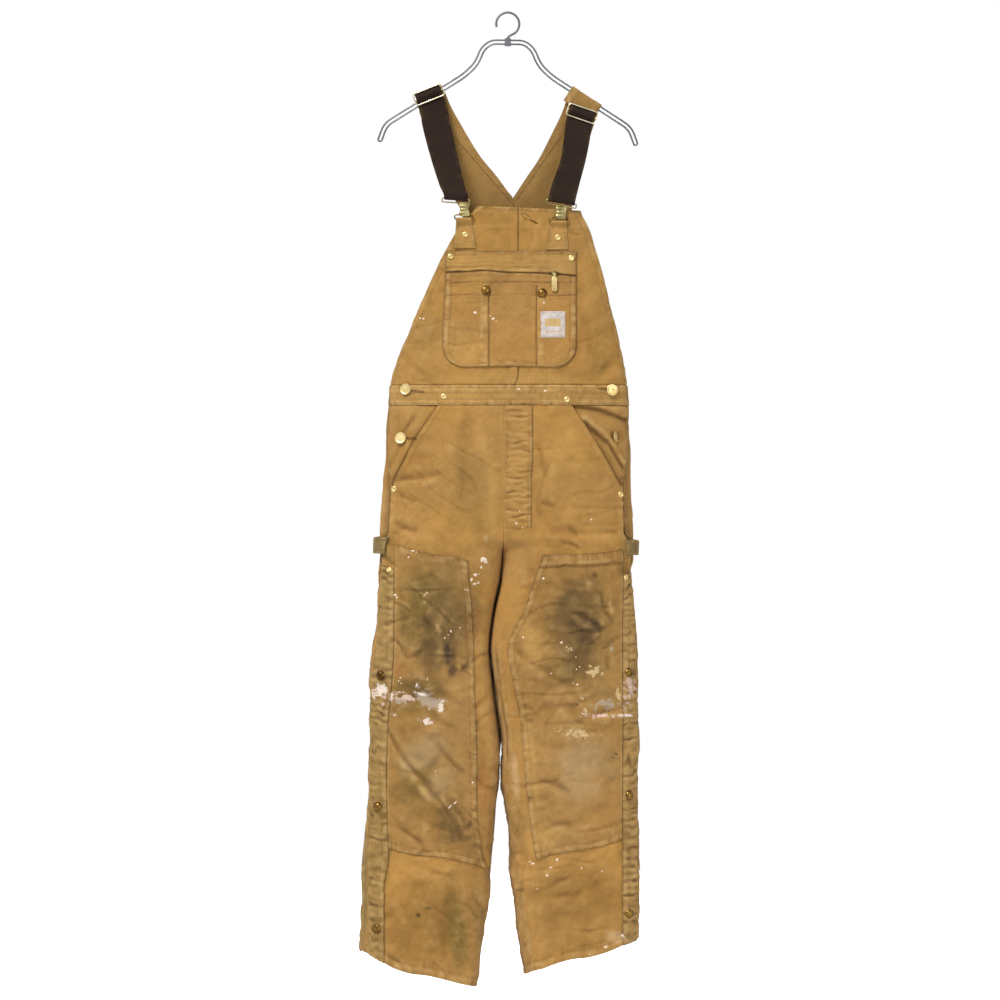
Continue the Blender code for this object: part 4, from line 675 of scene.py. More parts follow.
duckCanvas = clothMaterial("duckCanvas", 0.0012, 1100.0, 0.9, 0.6, 0.05, painted=True)
wovenTape = clothMaterial("wovenTape", 0.0011, 1400.0, 0.85, 0.5, 0.01)
sewingThread = clothMaterial("sewingThread", 0.0006, 2500.0, 0.7, 0.3, 0.1)
agedBrass = metalMaterial("agedBrass", (188, 174, 122), (96, 84, 48), 70.0, 0.3)
darkBrass = metalMaterial("darkBrass", (146, 112, 54), (74, 52, 24), 80.0, 0.2)
brightBrass = metalMaterial("brightBrass", (230, 210, 152), (190, 162, 104), 60.0, 0.26)
paleBrass = metalMaterial("paleBrass", (232, 226, 206), (186, 174, 136), 70.0, 0.24)
hangerSteel = metalMaterial("hangerSteel", (118, 120, 124), (90, 92, 96), 34.0, 0.42)
driedPaint = metalMaterial("driedPaint", (246, 230, 210), (226, 204, 178), 300.0, 0.45, metal=0.0)

print("stage 4: tools for cloth, thread and metal")
sheets = {}       # finished cloth by name
threadRows = {}   # stitches by region


# A mesh from points in mm and groups of faces, with its flat map and colours per point.
def meshFrom(name, points, groups, material, flat=None, colours=None, sharp=50):
    mesh = bpy.data.meshes.new(name)
    corners = np.concatenate([group.ravel() for group in groups]).astype(np.int32)
    sizes = np.concatenate([np.full(len(group), group.shape[1]) for group in groups])
    mesh.vertices.add(len(points))
    mesh.loops.add(len(corners))
    mesh.polygons.add(len(sizes))
    mesh.vertices.foreach_set("co", (points * mm).astype(np.float32).ravel())
    mesh.loops.foreach_set("vertex_index", corners)
    mesh.polygons.foreach_set("loop_start", (np.cumsum(sizes) - sizes).astype(np.int32))
    mesh.update(calc_edges=True)
    if flat is not None:
        layer = mesh.uv_layers.new(name="flat")
        layer.data.foreach_set("uv", (flat[corners] * mm).astype(np.float32).ravel())
    for title, values in (colours or {}).items():
        layer = mesh.attributes.new(title, "FLOAT_COLOR", "POINT")
        layer.data.foreach_set("color", values.astype(np.float32).ravel())
    mesh.materials.append(material)
    mesh.polygons.foreach_set("use_smooth", np.ones(len(sizes), bool))
    mesh.set_sharp_from_angle(angle=math.radians(sharp))
    item = bpy.data.objects.new(name, mesh)
    bpy.context.scene.collection.objects.link(item)
    return item


def attach(item, replaced=None, body="garment"):
    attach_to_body(item, body)
    if replaced:
        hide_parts(replaced)


def nodeOf(name):                 # the node of legFrontLeft is leg_front_left
    return "".join(letter if letter.islower() else "_" + letter.lower() for letter in name)


def gridNormals(grid, like):      # normals from differences, turned to agree with another set
    normals = unit(np.cross(np.gradient(grid, axis=1), np.gradient(grid, axis=0)))
    return normals * np.where((normals * like).sum() < 0, -1, 1)


# What a grid measures: the distance of each point from each of the four edges.
def layOut(points, normals):
    across, along = pathLength(points, 1), pathLength(points, 0)
    return {"points": points, "normals": normals, "left": across, "top": along,
            "right": across[:, -1:] - across, "bottom": along[-1:] - along}


# Closed thin shell: the outer grid, every so many points of it moved in by the wall, and a
# rim strip between the two.
def shell(name, outer, normals, wall, sparse, material, flat, colourOf):
    inner = (outer - normals * wall)[::sparse, ::sparse]
    index = np.arange(outer.size // 3).reshape(outer.shape[:2])
    low = index.size + np.arange(inner.size // 3).reshape(inner.shape[:2])

    def cells(table):
        quads = np.stack([table[:-1, :-1], table[:-1, 1:], table[1:, 1:], table[1:, :-1]], -1)
        return quads.reshape(-1, 4)

    def loop(table):
        return np.concatenate([table[0, :], table[1:, -1], table[-1, -2::-1], table[-2:0:-1, 0]])

    rim, below = loop(index), loop(low)
    starts = np.arange(0, len(rim), sparse)
    steps = np.array([rim[(starts + k) % len(rim)] for k in range(sparse, -1, -1)]).T
    strip = np.concatenate([steps, below[:, None], np.roll(below, -1)[:, None]], 1)
    groups = [cells(index), cells(low)[:, ::-1], strip]
    facing = np.cross(np.diff(outer, axis=1)[:-1], np.diff(outer, axis=0)[:, :-1])
    if (facing * normals[:-1, :-1]).sum() < 0:
        groups = [group[:, ::-1] for group in groups]
    points = np.concatenate([outer.reshape(-1, 3), inner.reshape(-1, 3)])
    flats = np.concatenate([flat.reshape(-1, 2), flat[::sparse, ::sparse].reshape(-1, 2)])
    return meshFrom(name, points, groups, material, flats, colourOf(inner))


# Behind the slit between the legs both inner walls bend to the same side, so that it closes
# to the eye: x + 10 near ease(y / 26 + 0.5), near falling off away from the slit.
def closeLegs(points):
    x, y, z = np.moveaxis(points, -1, 0)
    level = np.clip(z, -1300, -846)
    middle = sum(surfacePoints(side, 90.0, level)[..., 0] for side in hands) / 2
    near = bell(x - middle, 30) * ease((-852 - z) / 34) * ease((z + 1218) / 50)
    return np.stack([x + 10 * near * ease(y / 26 + 0.5), y, z], -1)


def smoothed(height, reach):      # mean over a square of cells, by running sums down and across
    for axis in (0, 1):
        count, sides = height.shape[axis], [(0, 0), (0, 0)]
        sides[axis] = (reach + 1, reach)
        run = np.cumsum(np.pad(height, sides, mode="edge"), axis)
        later, sooner = np.arange(count) + 2 * reach + 1, np.arange(count)
        height = (np.take(run, later, axis) - np.take(run, sooner, axis)) / (2 * reach + 1)
    return height


# What every cloth has unless its own dictionary says otherwise. Rows of stitches by edge,
# felled seams, free edges, how strong its drape, band, puckers, painted shadow on free edges,
# and wear with painted highlight are, and how many outer points there are to an inner one.
clothLook = dict(
    step=2.2, lift=0.0, wall=1.5, tint="canvas", rows={}, seams=(), free=(), region="body",
    band=0.35, pucker=0.7, pleat=8.0, spill=5, bandPale=0.24, edge=0.4, edgeWidth=1.2, drape=1.0,
    wear=1.0, pale="worn", stains=1.0, lining="inside", sparse=3, slot="duck_canvas",
    material=duckCanvas, stitched=True)


# One cut and sewn piece. Its relief is the garment's drape, plus for each stitched edge a
# raised band, furrows under the rows and pleats square to the edge that die away inwards.
# Its colour takes painted shade in the troughs, furrows, seams and hollows and on the rims of
# free edges, and painted highlight on crests and ridges.
def sew(name, sheet, look, relief=0.0, shade=0.0, bright=0.0, sink=0.0, replaced=None):
    points, normals = closeLegs(sheet["points"]), sheet["normals"]
    x, y, z = np.moveaxis(points, -1, 0)
    height = 1.22 * drape(points) * look["drape"] + relief
    # dark gathers painted shade and pale gathers paler bands, wear and painted highlight, on top of what the
    # caller gives
    dark, pale = np.zeros(height.shape) + shade, np.zeros(height.shape) + bright
    uneven = 0.78 + 0.5 * noise(x / 13, y / 13, z / 13, 62)
    seed = 30 + sum(map(ord, name)) % 50
    for number, (edge, rows) in enumerate(look["rows"].items()):
        off, run = sheet[edge], sheet["top" if edge in ("left", "right") else "left"]
        reach = rows[-1] + 1.8
        onBand = ease((reach - off) / 1.6 + 0.5)
        pleat = noise(run / look["pleat"], off / 24, 0.3, seed + number)
        pleat = pleat + 0.6 * noise(run / look["pleat"] * 1.9, off / 14, 0.7, seed + number)
        pleat = (0.45 - np.abs(pleat)) * bell(off, reach + look["spill"])
        height = height + look["band"] * onBand + look["pucker"] * pleat
        # painted shade in the pleats' troughs and a painted shadow line just past the band; then a paler band
        # and painted highlight on the pleats' crests
        dark += 0.5 * np.clip(-pleat, 0, 1) + 0.22 * bell(off - reach - 0.6, 1.2)
        pale += look["bandPale"] * onBand + 0.5 * np.clip(pleat, 0, 1)
        # each row sinks a furrow, with painted shade in it
        for row in rows:
            height = height - 0.4 * bell(off - row, 0.9)
            dark += 0.2 * bell(off - row, 1.0)
    # each seam sinks a groove, with painted shade along it
    for edge in look["seams"]:
        height = height - bell(sheet[edge], 1.1)
        dark += (0.35 if edge in ("top", "bottom") else 0.8) * uneven * bell(sheet[edge], 1.5)
    # each free edge is rounded and paler with wear just inside it, with painted shadow on its rim
    for edge in look["free"]:
        height = height - 0.5 * bell(sheet[edge], 0.7)
        pale += 0.45 * bell(sheet[edge] - 2.0, 1.8)
        dark += look["edge"] * uneven * bell(sheet[edge], look["edgeWidth"])
    for reach, most, amount in ((3, 1.4, 0.3), (9, 3.0, 0.07)):    # painted shade in hollows, painted highlight on ridges
        bend = height - smoothed(height, reach)
        dark += amount * np.clip(-bend, 0, most)
        pale += 1.5 * amount * np.clip(bend, 0, most)
    outer = points + normals * (look["lift"] + height - sink)[..., None]
    sheet["final"], sheet["slopes"] = outer, gridNormals(outer, normals)
    # noise and the look's share thin out the paler wear and the painted highlight
    worn = ease(0.55 + 0.8 * noise(x / 9, y / 9, z / 9, 61)) * look["wear"]
    pale, dark = np.clip(pale * worn, 0, 0.8)[..., None], np.clip(dark, 0, 0.9)[..., None]

    def colourOf(inner):
        dye = dyeAt(points, look["tint"], look["stains"])
        cloth = mix(dye[..., :3], dyes[look["pale"]], pale * 0.75)
        # painted shade darkens the cloth toward a dark brown
        dye[..., :3] = cloth * (1 - dark * (1 - dyes["groove"] / dyes["canvas"]) * 0.8)
        inside = dyeAt(inner, look["lining"], 0.0).reshape(-1, 4)
        colours = {"dye": np.concatenate([dye.reshape(-1, 4), inside])}
        if look["slot"] in ("duck_canvas", "knee_canvas"):
            bare = np.tile((1, 1, 1, 0.0), (len(inside), 1))
            colours["paint"] = np.concatenate([paintAt(points).reshape(-1, 4), bare])
        return colours

    flat = np.stack([sheet["left"], sheet["top"]], -1)
    item = shell(name, outer, normals, look["wall"], look["sparse"], look["material"], flat, colourOf)
    attach(item, replaced or nodeOf(name))
    cell = np.cross(np.diff(points, axis=1)[:-1], np.diff(points, axis=0)[:, :-1])
    area = np.linalg.norm(cell, axis=-1).sum() * mm * mm
    width, length = (max(sheet[edge].max() * mm, 0.0101) for edge in ("left", "top"))
    area = min(max(area, 0.31 * width * length), width * length)
    sheets[name] = sheet
    for edge, rows in look["rows"].items() if look["stitched"] else ():
        for row in rows:
            stitchRow(look["region"], *insetLine(sheet, edge, row))


# A line at one distance inside an edge of a finished piece, read between its grid points.
def insetLine(sheet, edge, distance):
    off, grid, normals = sheet[edge], sheet["final"], sheet["slopes"]
    if edge in ("top", "bottom"):
        off, grid, normals = off.T, grid.swapaxes(0, 1), normals.swapaxes(0, 1)
    if edge in ("right", "bottom"):
        off, grid, normals = off[:, ::-1], grid[:, ::-1], normals[:, ::-1]
    k = np.clip(np.argmax(off >= distance, axis=1), 1, None)
    line = np.arange(len(off))
    before, after = off[line, k - 1], off[line, k]
    t = np.clip((distance - before) / np.maximum(after - before, 1e-6), 0, 1)[:, None]
    return mix(grid[line, k - 1], grid[line, k], t), unit(mix(normals[line, k - 1], normals[line, k], t))


stitchLook = {"pitch": 3.5, "length": 2.7, "width": 0.75, "rise": 0.12}


# Short thread capsules along a line: centres by length, each with three rings of four points.
def stitchRow(region, points, normals, pitch=stitchLook["pitch"], width=1.0, shade="thread"):
    if len(points) < 2:
        print("  a stitch row missed its cloth in", region)
        return
    arc = pathLength(points)
    middles = (np.arange(int(arc[-1] / pitch)) + 0.5) * pitch
    if len(middles) < 1:
        return

    def read(values, where):
        return np.stack([np.interp(where, arc, values[:, k]) for k in range(3)], -1)

    centre, normal = read(points, middles), unit(read(normals, middles))
    along = unit(read(points, middles + 0.6) - read(points, middles - 0.6) + 1e-9)
    side = unit(np.cross(normal, along))
    half = stitchLook["width"] * width / 2
    length = stitchLook["length"] * pitch / stitchLook["pitch"]
    rings = []
    for share, size, rise in ((-0.5, 0.45, -0.15), (0, 1.0, 0.18), (0.5, 0.45, -0.15)):
        for turn in np.radians((45, 135, 225, 315)):
            rings.append(centre + along * length * share + side * half * size * math.cos(turn)
                         + normal * (stitchLook["rise"] + rise + half * size * math.sin(turn)))
    colour = mix(dyeAt(centre, "canvas")[..., :3], dyes[shade], 0.75)
    paint = paintAt(centre)
    colour = np.where(paint[:, 3:] > 0.6, paint[:, :3], colour)
    threadRows.setdefault(region, []).append((np.stack(rings, 1), colour))


def makeThreads():                # one mesh of all the stitches of each region
    ring = [[0, 1, 2, 3], [11, 10, 9, 8]]
    for level in (0, 4):
        ring += [[level + k, level + 4 + k, level + 4 + (k + 1) % 4, level + (k + 1) % 4]
                 for k in range(4)]
    for region, rows in threadRows.items():
        points = np.concatenate([row[0] for row in rows])
        colour = np.repeat(np.concatenate([row[1] for row in rows]), 12, 0)
        faces = (np.array(ring)[None] + 12 * np.arange(len(points))[:, None, None]).reshape(-1, 4)
        print("  stitches", region, len(points))
        points = points.reshape(-1, 3)
        colour = np.concatenate([colour, np.ones((len(colour), 1))], 1)
        attach(meshFrom("stitches_" + region, points, [faces], sewingThread, points[:, [0, 2]],
                        {"dye": colour}, 80))


def placesOf(x, z):               # x and z as rows of equal length
    return np.broadcast_arrays(np.atleast_1d(np.asarray(x, float)), np.asarray(z, float))


# Heights of a finished piece at given x and z: its nearest point, followed along its slope.
def dropOn(sheet, x, z):
    grid, slopes = sheet["final"].reshape(-1, 3), sheet["slopes"].reshape(-1, 3)
    x, z = placesOf(x, z)
    box = ((grid[:, 0] > x.min() - 12) & (grid[:, 0] < x.max() + 12)
           & (grid[:, 2] > z.min() - 12) & (grid[:, 2] < z.max() + 12) & (slopes[:, 1] < -0.15))
    grid, slopes = grid[box], slopes[box]
    if not len(grid):
        return np.full(x.shape + (3,), np.nan), np.zeros(x.shape + (3,)), np.full(x.shape, np.inf)
    near, far = [], []
    for part in np.array_split(np.arange(len(x)), max(1, len(x) // 60)):
        gap = np.hypot(grid[None, :, 0] - x[part, None], grid[None, :, 2] - z[part, None])
        near.append(gap.argmin(1))
        far.append(gap.min(1))
    near, far = np.concatenate(near), np.concatenate(far)
    point, normal = grid[near], slopes[near]
    rise = (normal[:, 0] * (x - point[:, 0]) + normal[:, 2] * (z - point[:, 2])) / normal[:, 1]
    return np.stack([x, point[:, 1] - rise, z], -1), normal, far


def topAt(x, z, names=None):      # the foremost cloth at each x and z
    x, z = placesOf(x, z)
    best, bestNormal = np.full(x.shape + (3,), np.nan), np.zeros(x.shape + (3,))
    best[:, 1] = 1e6
    for name in names or sheets:
        point, normal, far = dropOn(sheets[name], x, z)
        better = ((far < 2.6) & (point[:, 1] < best[:, 1]))[:, None]
        best, bestNormal = np.where(better, point, best), np.where(better, normal, bestNormal)
    return best, bestNormal


def drawnLine(names, path, step=2.0):    # a line given by x and z, laid on finished cloth
    path = np.array(path, float)
    arc = pathLength(path)
    where = np.linspace(0, arc[-1], max(3, int(arc[-1] / step)))
    points, normals = topAt(*(np.interp(where, arc, path[:, k]) for k in (0, 1)), names)
    kept = points[:, 1] < 1e5
    return points[kept], normals[kept]


# Rings of points as one skin: quads between neighbours, then caps or a join of last and first.
def skin(rings, closed=False):
    index = np.arange(rings.size // 3).reshape(rings.shape[:2])
    loops = np.vstack([index, index[:1]]) if closed else index
    after = np.roll(loops, -1, 1)
    quads = np.stack([loops[:-1], after[:-1], after[1:], loops[1:]], -1).reshape(-1, 4)
    return rings.reshape(-1, 3), [quads] + ([] if closed else [index[:1, ::-1], index[-1:]])


# A wire of round section along a path: rings square to the path's direction.
def wire(path, radius, sides, closed=False, up=(0.0, 1.0, 0.0)):
    path = np.asarray(path, float)
    ahead = (np.roll(path, -1, 0) - np.roll(path, 1, 0)) if closed else np.gradient(path, axis=0)
    across = unit(np.cross(unit(ahead), up))
    over = unit(np.cross(across, unit(ahead)))
    turns = np.arange(sides)[:, None] / sides * math.tau
    return skin(path[:, None] + radius * (across[:, None] * np.cos(turns) + over[:, None] * np.sin(turns)),
                closed)


# A turned piece: radius and height pairs carried round a direction, from pole to pole.
def turned(profile, sides, place, direction):
    direction = unit(np.asarray(direction, float))
    side = unit(np.cross(direction, (0.02, 0.03, 1.0)))
    turns = np.arange(sides)[:, None] / sides * math.tau
    ring = side * np.cos(turns) + np.cross(side, direction) * np.sin(turns)
    rings = place + ring * profile[1:-1, 0, None, None] + direction * profile[1:-1, 1, None, None]
    points, (quads, *caps) = skin(rings)
    low = len(points)
    index = np.arange(low).reshape(-1, sides)
    after = np.roll(index, -1, 1)
    first = np.stack([np.full(sides, low), after[0], index[0]], -1)
    last = np.stack([np.full(sides, low + 1), index[-1], after[-1]], -1)
    poles = place + direction * profile[[0, -1], 1, None]
    return np.concatenate([points, poles]), [quads, first, last]


# A pressed block: stacked rounded oblongs, each half width and half depth a share of its own.
def stacked(centre, levels, power, sides):
    turns = (np.arange(sides) + 0.5) / sides * math.tau
    ringX, ringY = (np.sign(way) * np.abs(way) ** (2 / power) for way in (np.cos(turns), np.sin(turns)))
    z, wide, deep, shift = np.asarray(levels, float).T[..., None]
    return skin(centre + np.stack([wide * ringX + shift, deep * ringY, z + 0 * ringX], -1))


# Several meshes as one object. Each part's faces are turned so that it holds a volume.
def joined(name, parts, material, sharp=40):
    points, groups, start = [], [], 0
    for partPoints, partGroups in parts:
        volume = 0.0
        for group in partGroups:
            corner = [partPoints[group[:, k]] for k in range(group.shape[1])]
            for k in range(1, group.shape[1] - 1):
                volume += (corner[0] * np.cross(corner[k], corner[k + 1])).sum()
        for group in partGroups:
            groups.append((group if volume > 0 else group[:, ::-1]) + start)
        points.append(partPoints)
        start += len(partPoints)
    bySize = [np.concatenate([group for group in groups if group.shape[1] == size])
              for size in sorted({group.shape[1] for group in groups})]
    return meshFrom(name, np.concatenate(points), bySize, material, sharp=sharp)


def fitted(name, parts, material, sharp, body="garment"):
    attach(joined(name, parts, material, sharp), nodeOf(name), body)


# Smooth path or ribbon through given rows, by cubics whose slopes follow the rows' spacing.
def through(rows, step):
    rows = np.asarray(rows, float)
    line = rows.reshape(len(rows), -1)
    gaps = np.linalg.norm(np.diff(line, axis=0), axis=1)[:, None]
    knots = np.concatenate([[0], np.cumsum(gaps)])
    slopes = np.diff(line, axis=0) / gaps
    inner = (slopes[:-1] * gaps[1:] + slopes[1:] * gaps[:-1]) / (gaps[1:] + gaps[:-1])
    slopes = np.concatenate([slopes[:1], inner, slopes[-1:]])
    scale = math.sqrt(line.shape[1] / 3)
    where = spaced(knots[-1] / scale, step) * scale
    k = np.clip(np.searchsorted(knots, where, side="right") - 1, 0, len(gaps) - 1)
    t = (where - knots[k])[:, None] / gaps[k]
    line = cubic(t, gaps[k], line[k], line[k + 1], slopes[k], slopes[k + 1])
    return line.reshape((len(where),) + rows.shape[1:])


# A ribbon from left and right edge points, row by row, laid out with one point facing a way.
def ribbon(rows, step, width, row, way):
    edges = through(rows, step)
    grid = mix(edges[:, :1], edges[:, 1:], shares(width, step)[:, None])
    return faced(grid, len(grid) // row, grid.shape[1] // 2, way)


def faced(grid, row, place, way):
    normals = gridNormals(grid, 0)
    return layOut(grid, normals * np.sign(normals[row, place, 1]) * way)


def tilted(degrees):              # the directions along and square to a tilt in the hanger's plane
    turn = math.radians(degrees)
    return np.array((math.cos(turn), 0, math.sin(turn))), np.array((-math.sin(turn), 0, math.cos(turn)))

print("stage 5: legs")
legLook = dict(clothLook, tint="thigh", band=0.5, pucker=0.9, pleat=7.0, rowStep=2.3,
               rows={"bottom": (3, 12)}, seams=("left", "right", "top"), free=("bottom",),
               length=905.0, level=-1200.0, hemLevel=-1566.0)
legBackLook = dict(clothLook, step=4.2, band=0.6, pucker=1.2, region="back",
                   rows={"right": (3, 10), "left": (3,), "bottom": (12,)},
                   seams=("left", "right", "top"), free=("bottom",))
kneeLook = dict(clothLook, step=2.1, lift=1.9, wall=1.4, tint="knee", pucker=1.0, pleat=6.5,
                rows={"top": (3, 12), "bottom": (3, 9), "right": (2.6, 8.6)}, bandPale=0.3, edge=0.9,
                free=("top", "bottom", "right", "left"), slot="knee_canvas", region="knees")
flapLook = dict(clothLook, step=1.7, rowStep=1.9, lift=2.1, tint="flap", band=0.3, pucker=1.3,
                pleat=8.5, spill=10, rows={"right": (2.4, 8.0), "left": (2.4,)}, wear=1.3, edge=0.6,
                free=("left", "right", "bottom", "top"), region="flaps")
flyLook = dict(clothLook, step=1.6, lift=1.9, wall=1.4, tint="thigh", band=0.2, pucker=1.3,
               pleat=10.0, spill=20, rows={"left": (3.0,), "right": (3.0,)}, free=("left",), edge=0.9)
facingLook = dict(clothLook, lift=-0.2, wall=1.0, band=0.0, pucker=1.0, pleat=12.0,
                  rows={"left": (2.2,)}, seams=("top",), region="waist")
hammerLook = dict(clothLook, wall=1.8, tint="khaki", band=0.2, pucker=0.3, pleat=9.0, drape=0.25,
                  rows={"top": (3,), "bottom": (3,)}, free=("top", "bottom", "left", "right"),
                  region="flaps", lining="khaki", stains=0.0, sparse=1)
lineShares = (0, 0.05, 0.15, 0.75, 1)    # of seam, flap, flap, knee panel and inner edge at the hem


def lineAngles(side, z):          # angles of those five lines at a height
    outer = guide("seam", z)
    patchIn = angleAt(side, guide("patchIn" + hands[side], z), z)
    flapOut, flapIn = (
        np.maximum(angleAt(side, guide(name + hands[side], z), z), mix(outer, patchIn, least))
        for name, least in (("flapOut", 0.06), ("flapIn", 0.24)))
    return outer, flapOut, flapIn, patchIn, innerAngle(z)


def lineAt(side, name, share):    # the left hem sags early; both turn up at the inseam
    if name == "hem":
        late = np.clip(share - 0.9, 0, 0.1) / 0.1
        share = 1 - (1 - share) ** 2.5 - 0.22 * late ** 2 if side < 0 else share - 0.04 * late ** 2
    return mix(*legLines[side][name], share)


def fromPlace(side, z, start, step):    # shares from a place to the inner edge
    places = evenPlaces(side, z, 1, float(start), step)
    return places, (places - places[0]) / (1 - places[0])


def seamAngles(z):                # the back's first angles, which run on from the front's seam
    near = np.sin(np.radians(guide("seam", z))) ** (2 / roundness)
    return np.degrees(np.arcsin((near * (1, 0.66, 0.33)) ** (roundness / 2)))


def makeLegFront(side):
    look, onRight = legLook, side > 0
    angles = lineAngles(side, look["hemLevel"])
    places, share = fromPlace(side, look["level"], anglePlace(angles[0], look["level"]), look["step"])
    hem = lineAt(side, "hem", np.interp(placeAngle(places, look["hemLevel"]), angles, lineShares))
    z = rowsOf(legTop, hem, look["length"], look["rowStep"])
    start = anglePlace(guide("seam", z), z)
    start = np.where(z > mouthLow[side], np.maximum(start, xPlace(side, slantX(side, z), z)), start)
    points, normals = surface(side, placeAngle(mix(start, 1, share), z), z)
    x, y = points[..., 0], points[..., 1]
    # under the fly the cloth bridges the first of the slit: pulled forward by up to 0.9 of its depth
    fromSlit = np.abs(x - x[:, -1:])
    face = np.where(fromSlit < 45, y, 99).min(1, keepdims=True)
    upper, along = ease((z + 905) / 26), ease((z + 1290) / 120)
    pull = bell(fromSlit, 17) * ease((-836 - z) / 8) * mix(0.72 * along, 0.9, upper)
    points[..., 1] -= pull * np.clip(y - face, 0, 8 + 5 * upper)
    sheet = layOut(points, normals)
    off, down = sheet["left"], sheet["top"]
    # the pocket's mouth gapes and has a band with two rows of stitches; below it the seam is bound
    onMouth = ease((z - mouthLow[side]) / 25)
    gape = np.sin(np.pi * np.clip((legTop - z) / (legTop - mouthLow[side]), 0, 1)) ** 1.5
    gape = (5.5 if onRight else 1.2) * bell(off, 16) * gape
    band = 0.6 * ease((11 - off) / 1.6) - 0.4 * (bell(off - 3, 0.9) + bell(off - 9.5, 0.9))
    bound = ease((11 - off) / 1.6) * ease((mouthLow[side] - z) / 20)
    edging = bound * (0.5 + 1.1 * noise(down / 6, off / 16, 0.5, 42))
    inseam = (0.4 - np.abs(noise(down / 6.5, off / 14, side, 41))) * bell(sheet["right"], 15)
    inseam = inseam * (2.64 if onRight else 1.2) * ease((-1080 - z) / 60) * ease((z + 1460) / 120 + 0.35)
    inseam += (0.9 if onRight else 0.4) * ease((12 - sheet["right"]) / 1.6) * ease((-1090 - z) / 40)
    # outside the inseam shows a strip of frayed seam, and a line of painted shade marks the slit between the
    # legs
    inner = (x - x[:, -1:]) * side
    reach = 17.5 + 1.4 * noise(down / 30, 0, 0, 44)
    low = ease((-1010 - z) / 60)
    strip = ease((reach - inner) / 1.6) * low * (1.0 if onRight else 0.35)
    frays = 0.6 * np.sin(down * math.tau / 4.6 + 2.4 * noise(down / 16, off / 9, 0.5, 43))
    frays = frays + 0.5 * noise(down / 9, off / 5, 0.5, 45)
    line = 0.8 * bell(inner - 0.5 * reach, 1.5) * low * onRight * ease((z + 1240) / 70 + 0.4)
    line = line + 0.45 * bell(inner - reach, 1.0) * strip
    line = line + bell(inner, 1.8) * (0.9 * ease((-900 - z) / 60) - ease((z + 902) / 20))
    relief = (gape + band) * onMouth + inseam + strip * (0.5 + 0.7 * frays) - 0.5 * line + edging
    # painted shade in the fray troughs and along the lines, painted highlight on the fray ridges, and a paler
    # binding
    sew("legFront" + hands[side], sheet, look, relief,
        strip * (0.1 + 0.5 * np.clip(-frays, 0, 1)) + 0.7 * line,
        strip * (0.35 + 0.6 * np.clip(frays, 0, 1)) + 0.3 * bound)
    for edge, rows, kept in (("left", (3.0, 9.5), z[:, 0] > mouthLow[side] + 2),
                             ("right", (2.5, 10) if onRight else (3,), z[:, -1] < -900)):
        for row in rows:
            points, slopes = insetLine(sheet, edge, row)
            stitchRow("body", points[kept], slopes[kept])


def makeLegBack(side):
    look = legBackLook
    places = evenPlaces(side, legLook["level"], -1, 0.0, look["step"])
    first = seamAngles(rowsOf(legTop, legLook["hemLevel"], legLook["length"], look["step"]))
    across = np.concatenate([0.05 * np.array((0, 0.34, 0.67)), 0.05 + 0.95 * places ** 1.5])
    z = rowsOf(legTop, lineAt(side, "hem", across), legLook["length"], look["step"])
    angle = np.concatenate([first, -placeAngle(places, z[:, 3:])], 1)
    angle[:, 3] = 0
    sew("legBack" + hands[side], layOut(*surface(side, angle, z)), look)


# A piece between two neighbouring guide lines of the leg's front, from a top to a low line.
def onLeg(side, look, line, top, low, length, width):
    share = shares(width, look["step"])
    across = mix(lineShares[line], lineShares[line + 1], share)
    z = rowsOf(top(across), low(across), length, look.get("rowStep", look["step"]))
    angles = lineAngles(side, z)
    return layOut(*surface(side, mix(angles[line], angles[line + 1], share), z))


def makeKnee(side):
    sheet = onLeg(side, kneeLook, 2, lambda share: lineAt(side, "patchTop", share),
                  lambda share: lineAt(side, "patchLow", share), 500.0, 165.0)
    fold = 1.8 * bell(sheet["top"] - 15, 3) - 1.2 * bell(sheet["top"] - 21, 3)
    sew("kneePatch" + hands[side], sheet, kneeLook, fold * (side > 0))


def makeFlap(side):
    def top(share):
        return mix(lineAt(side, "patchTop", share), lineAt(side, "patchLow", share), 1 / 12)

    sheet = onLeg(side, flapLook, 1, top, lambda share: lineAt(side, "hem", share), 630.0, 25.0)
    down, across = sheet["top"], sheet["left"]
    lifted = 1.6 * bell(across, 7) * (1 + 0.6 * noise(down / 40, 0, 0, 46 + side))
    beat = down / 13.0 + 0.9 * noise(down / 46, 0, 0, 47 + side) + 0.35 * noise(across / 9, down / 30, 0, 50)
    size = 0.5 + 0.5 * noise(np.floor(beat) * 3.7, 0, 0, 51 + side)
    tuck = bell(beat - np.floor(beat) - 0.5, 0.24) * size
    tuck = tuck * (0.45 + 0.55 * ease(0.5 + 1.4 * noise(across / 8, np.floor(beat), 0, 52)))
    # painted shade in the tucks and painted highlight on the ridges between them
    sew("legFlap" + hands[side], sheet, dict(flapLook, tint="flap" if side < 0 else "flapPale"),
        lifted + 0.7 - 2.2 * tuck, 0.42 * tuck,
        0.4 * size * np.clip(np.cos(beat * math.tau), 0, 1))


flyTucks = (-655, -664, -688, -698, -706, -718, -730, -746, -752, -763, -774, -781, -787, -795,
            -803, -816, -826)


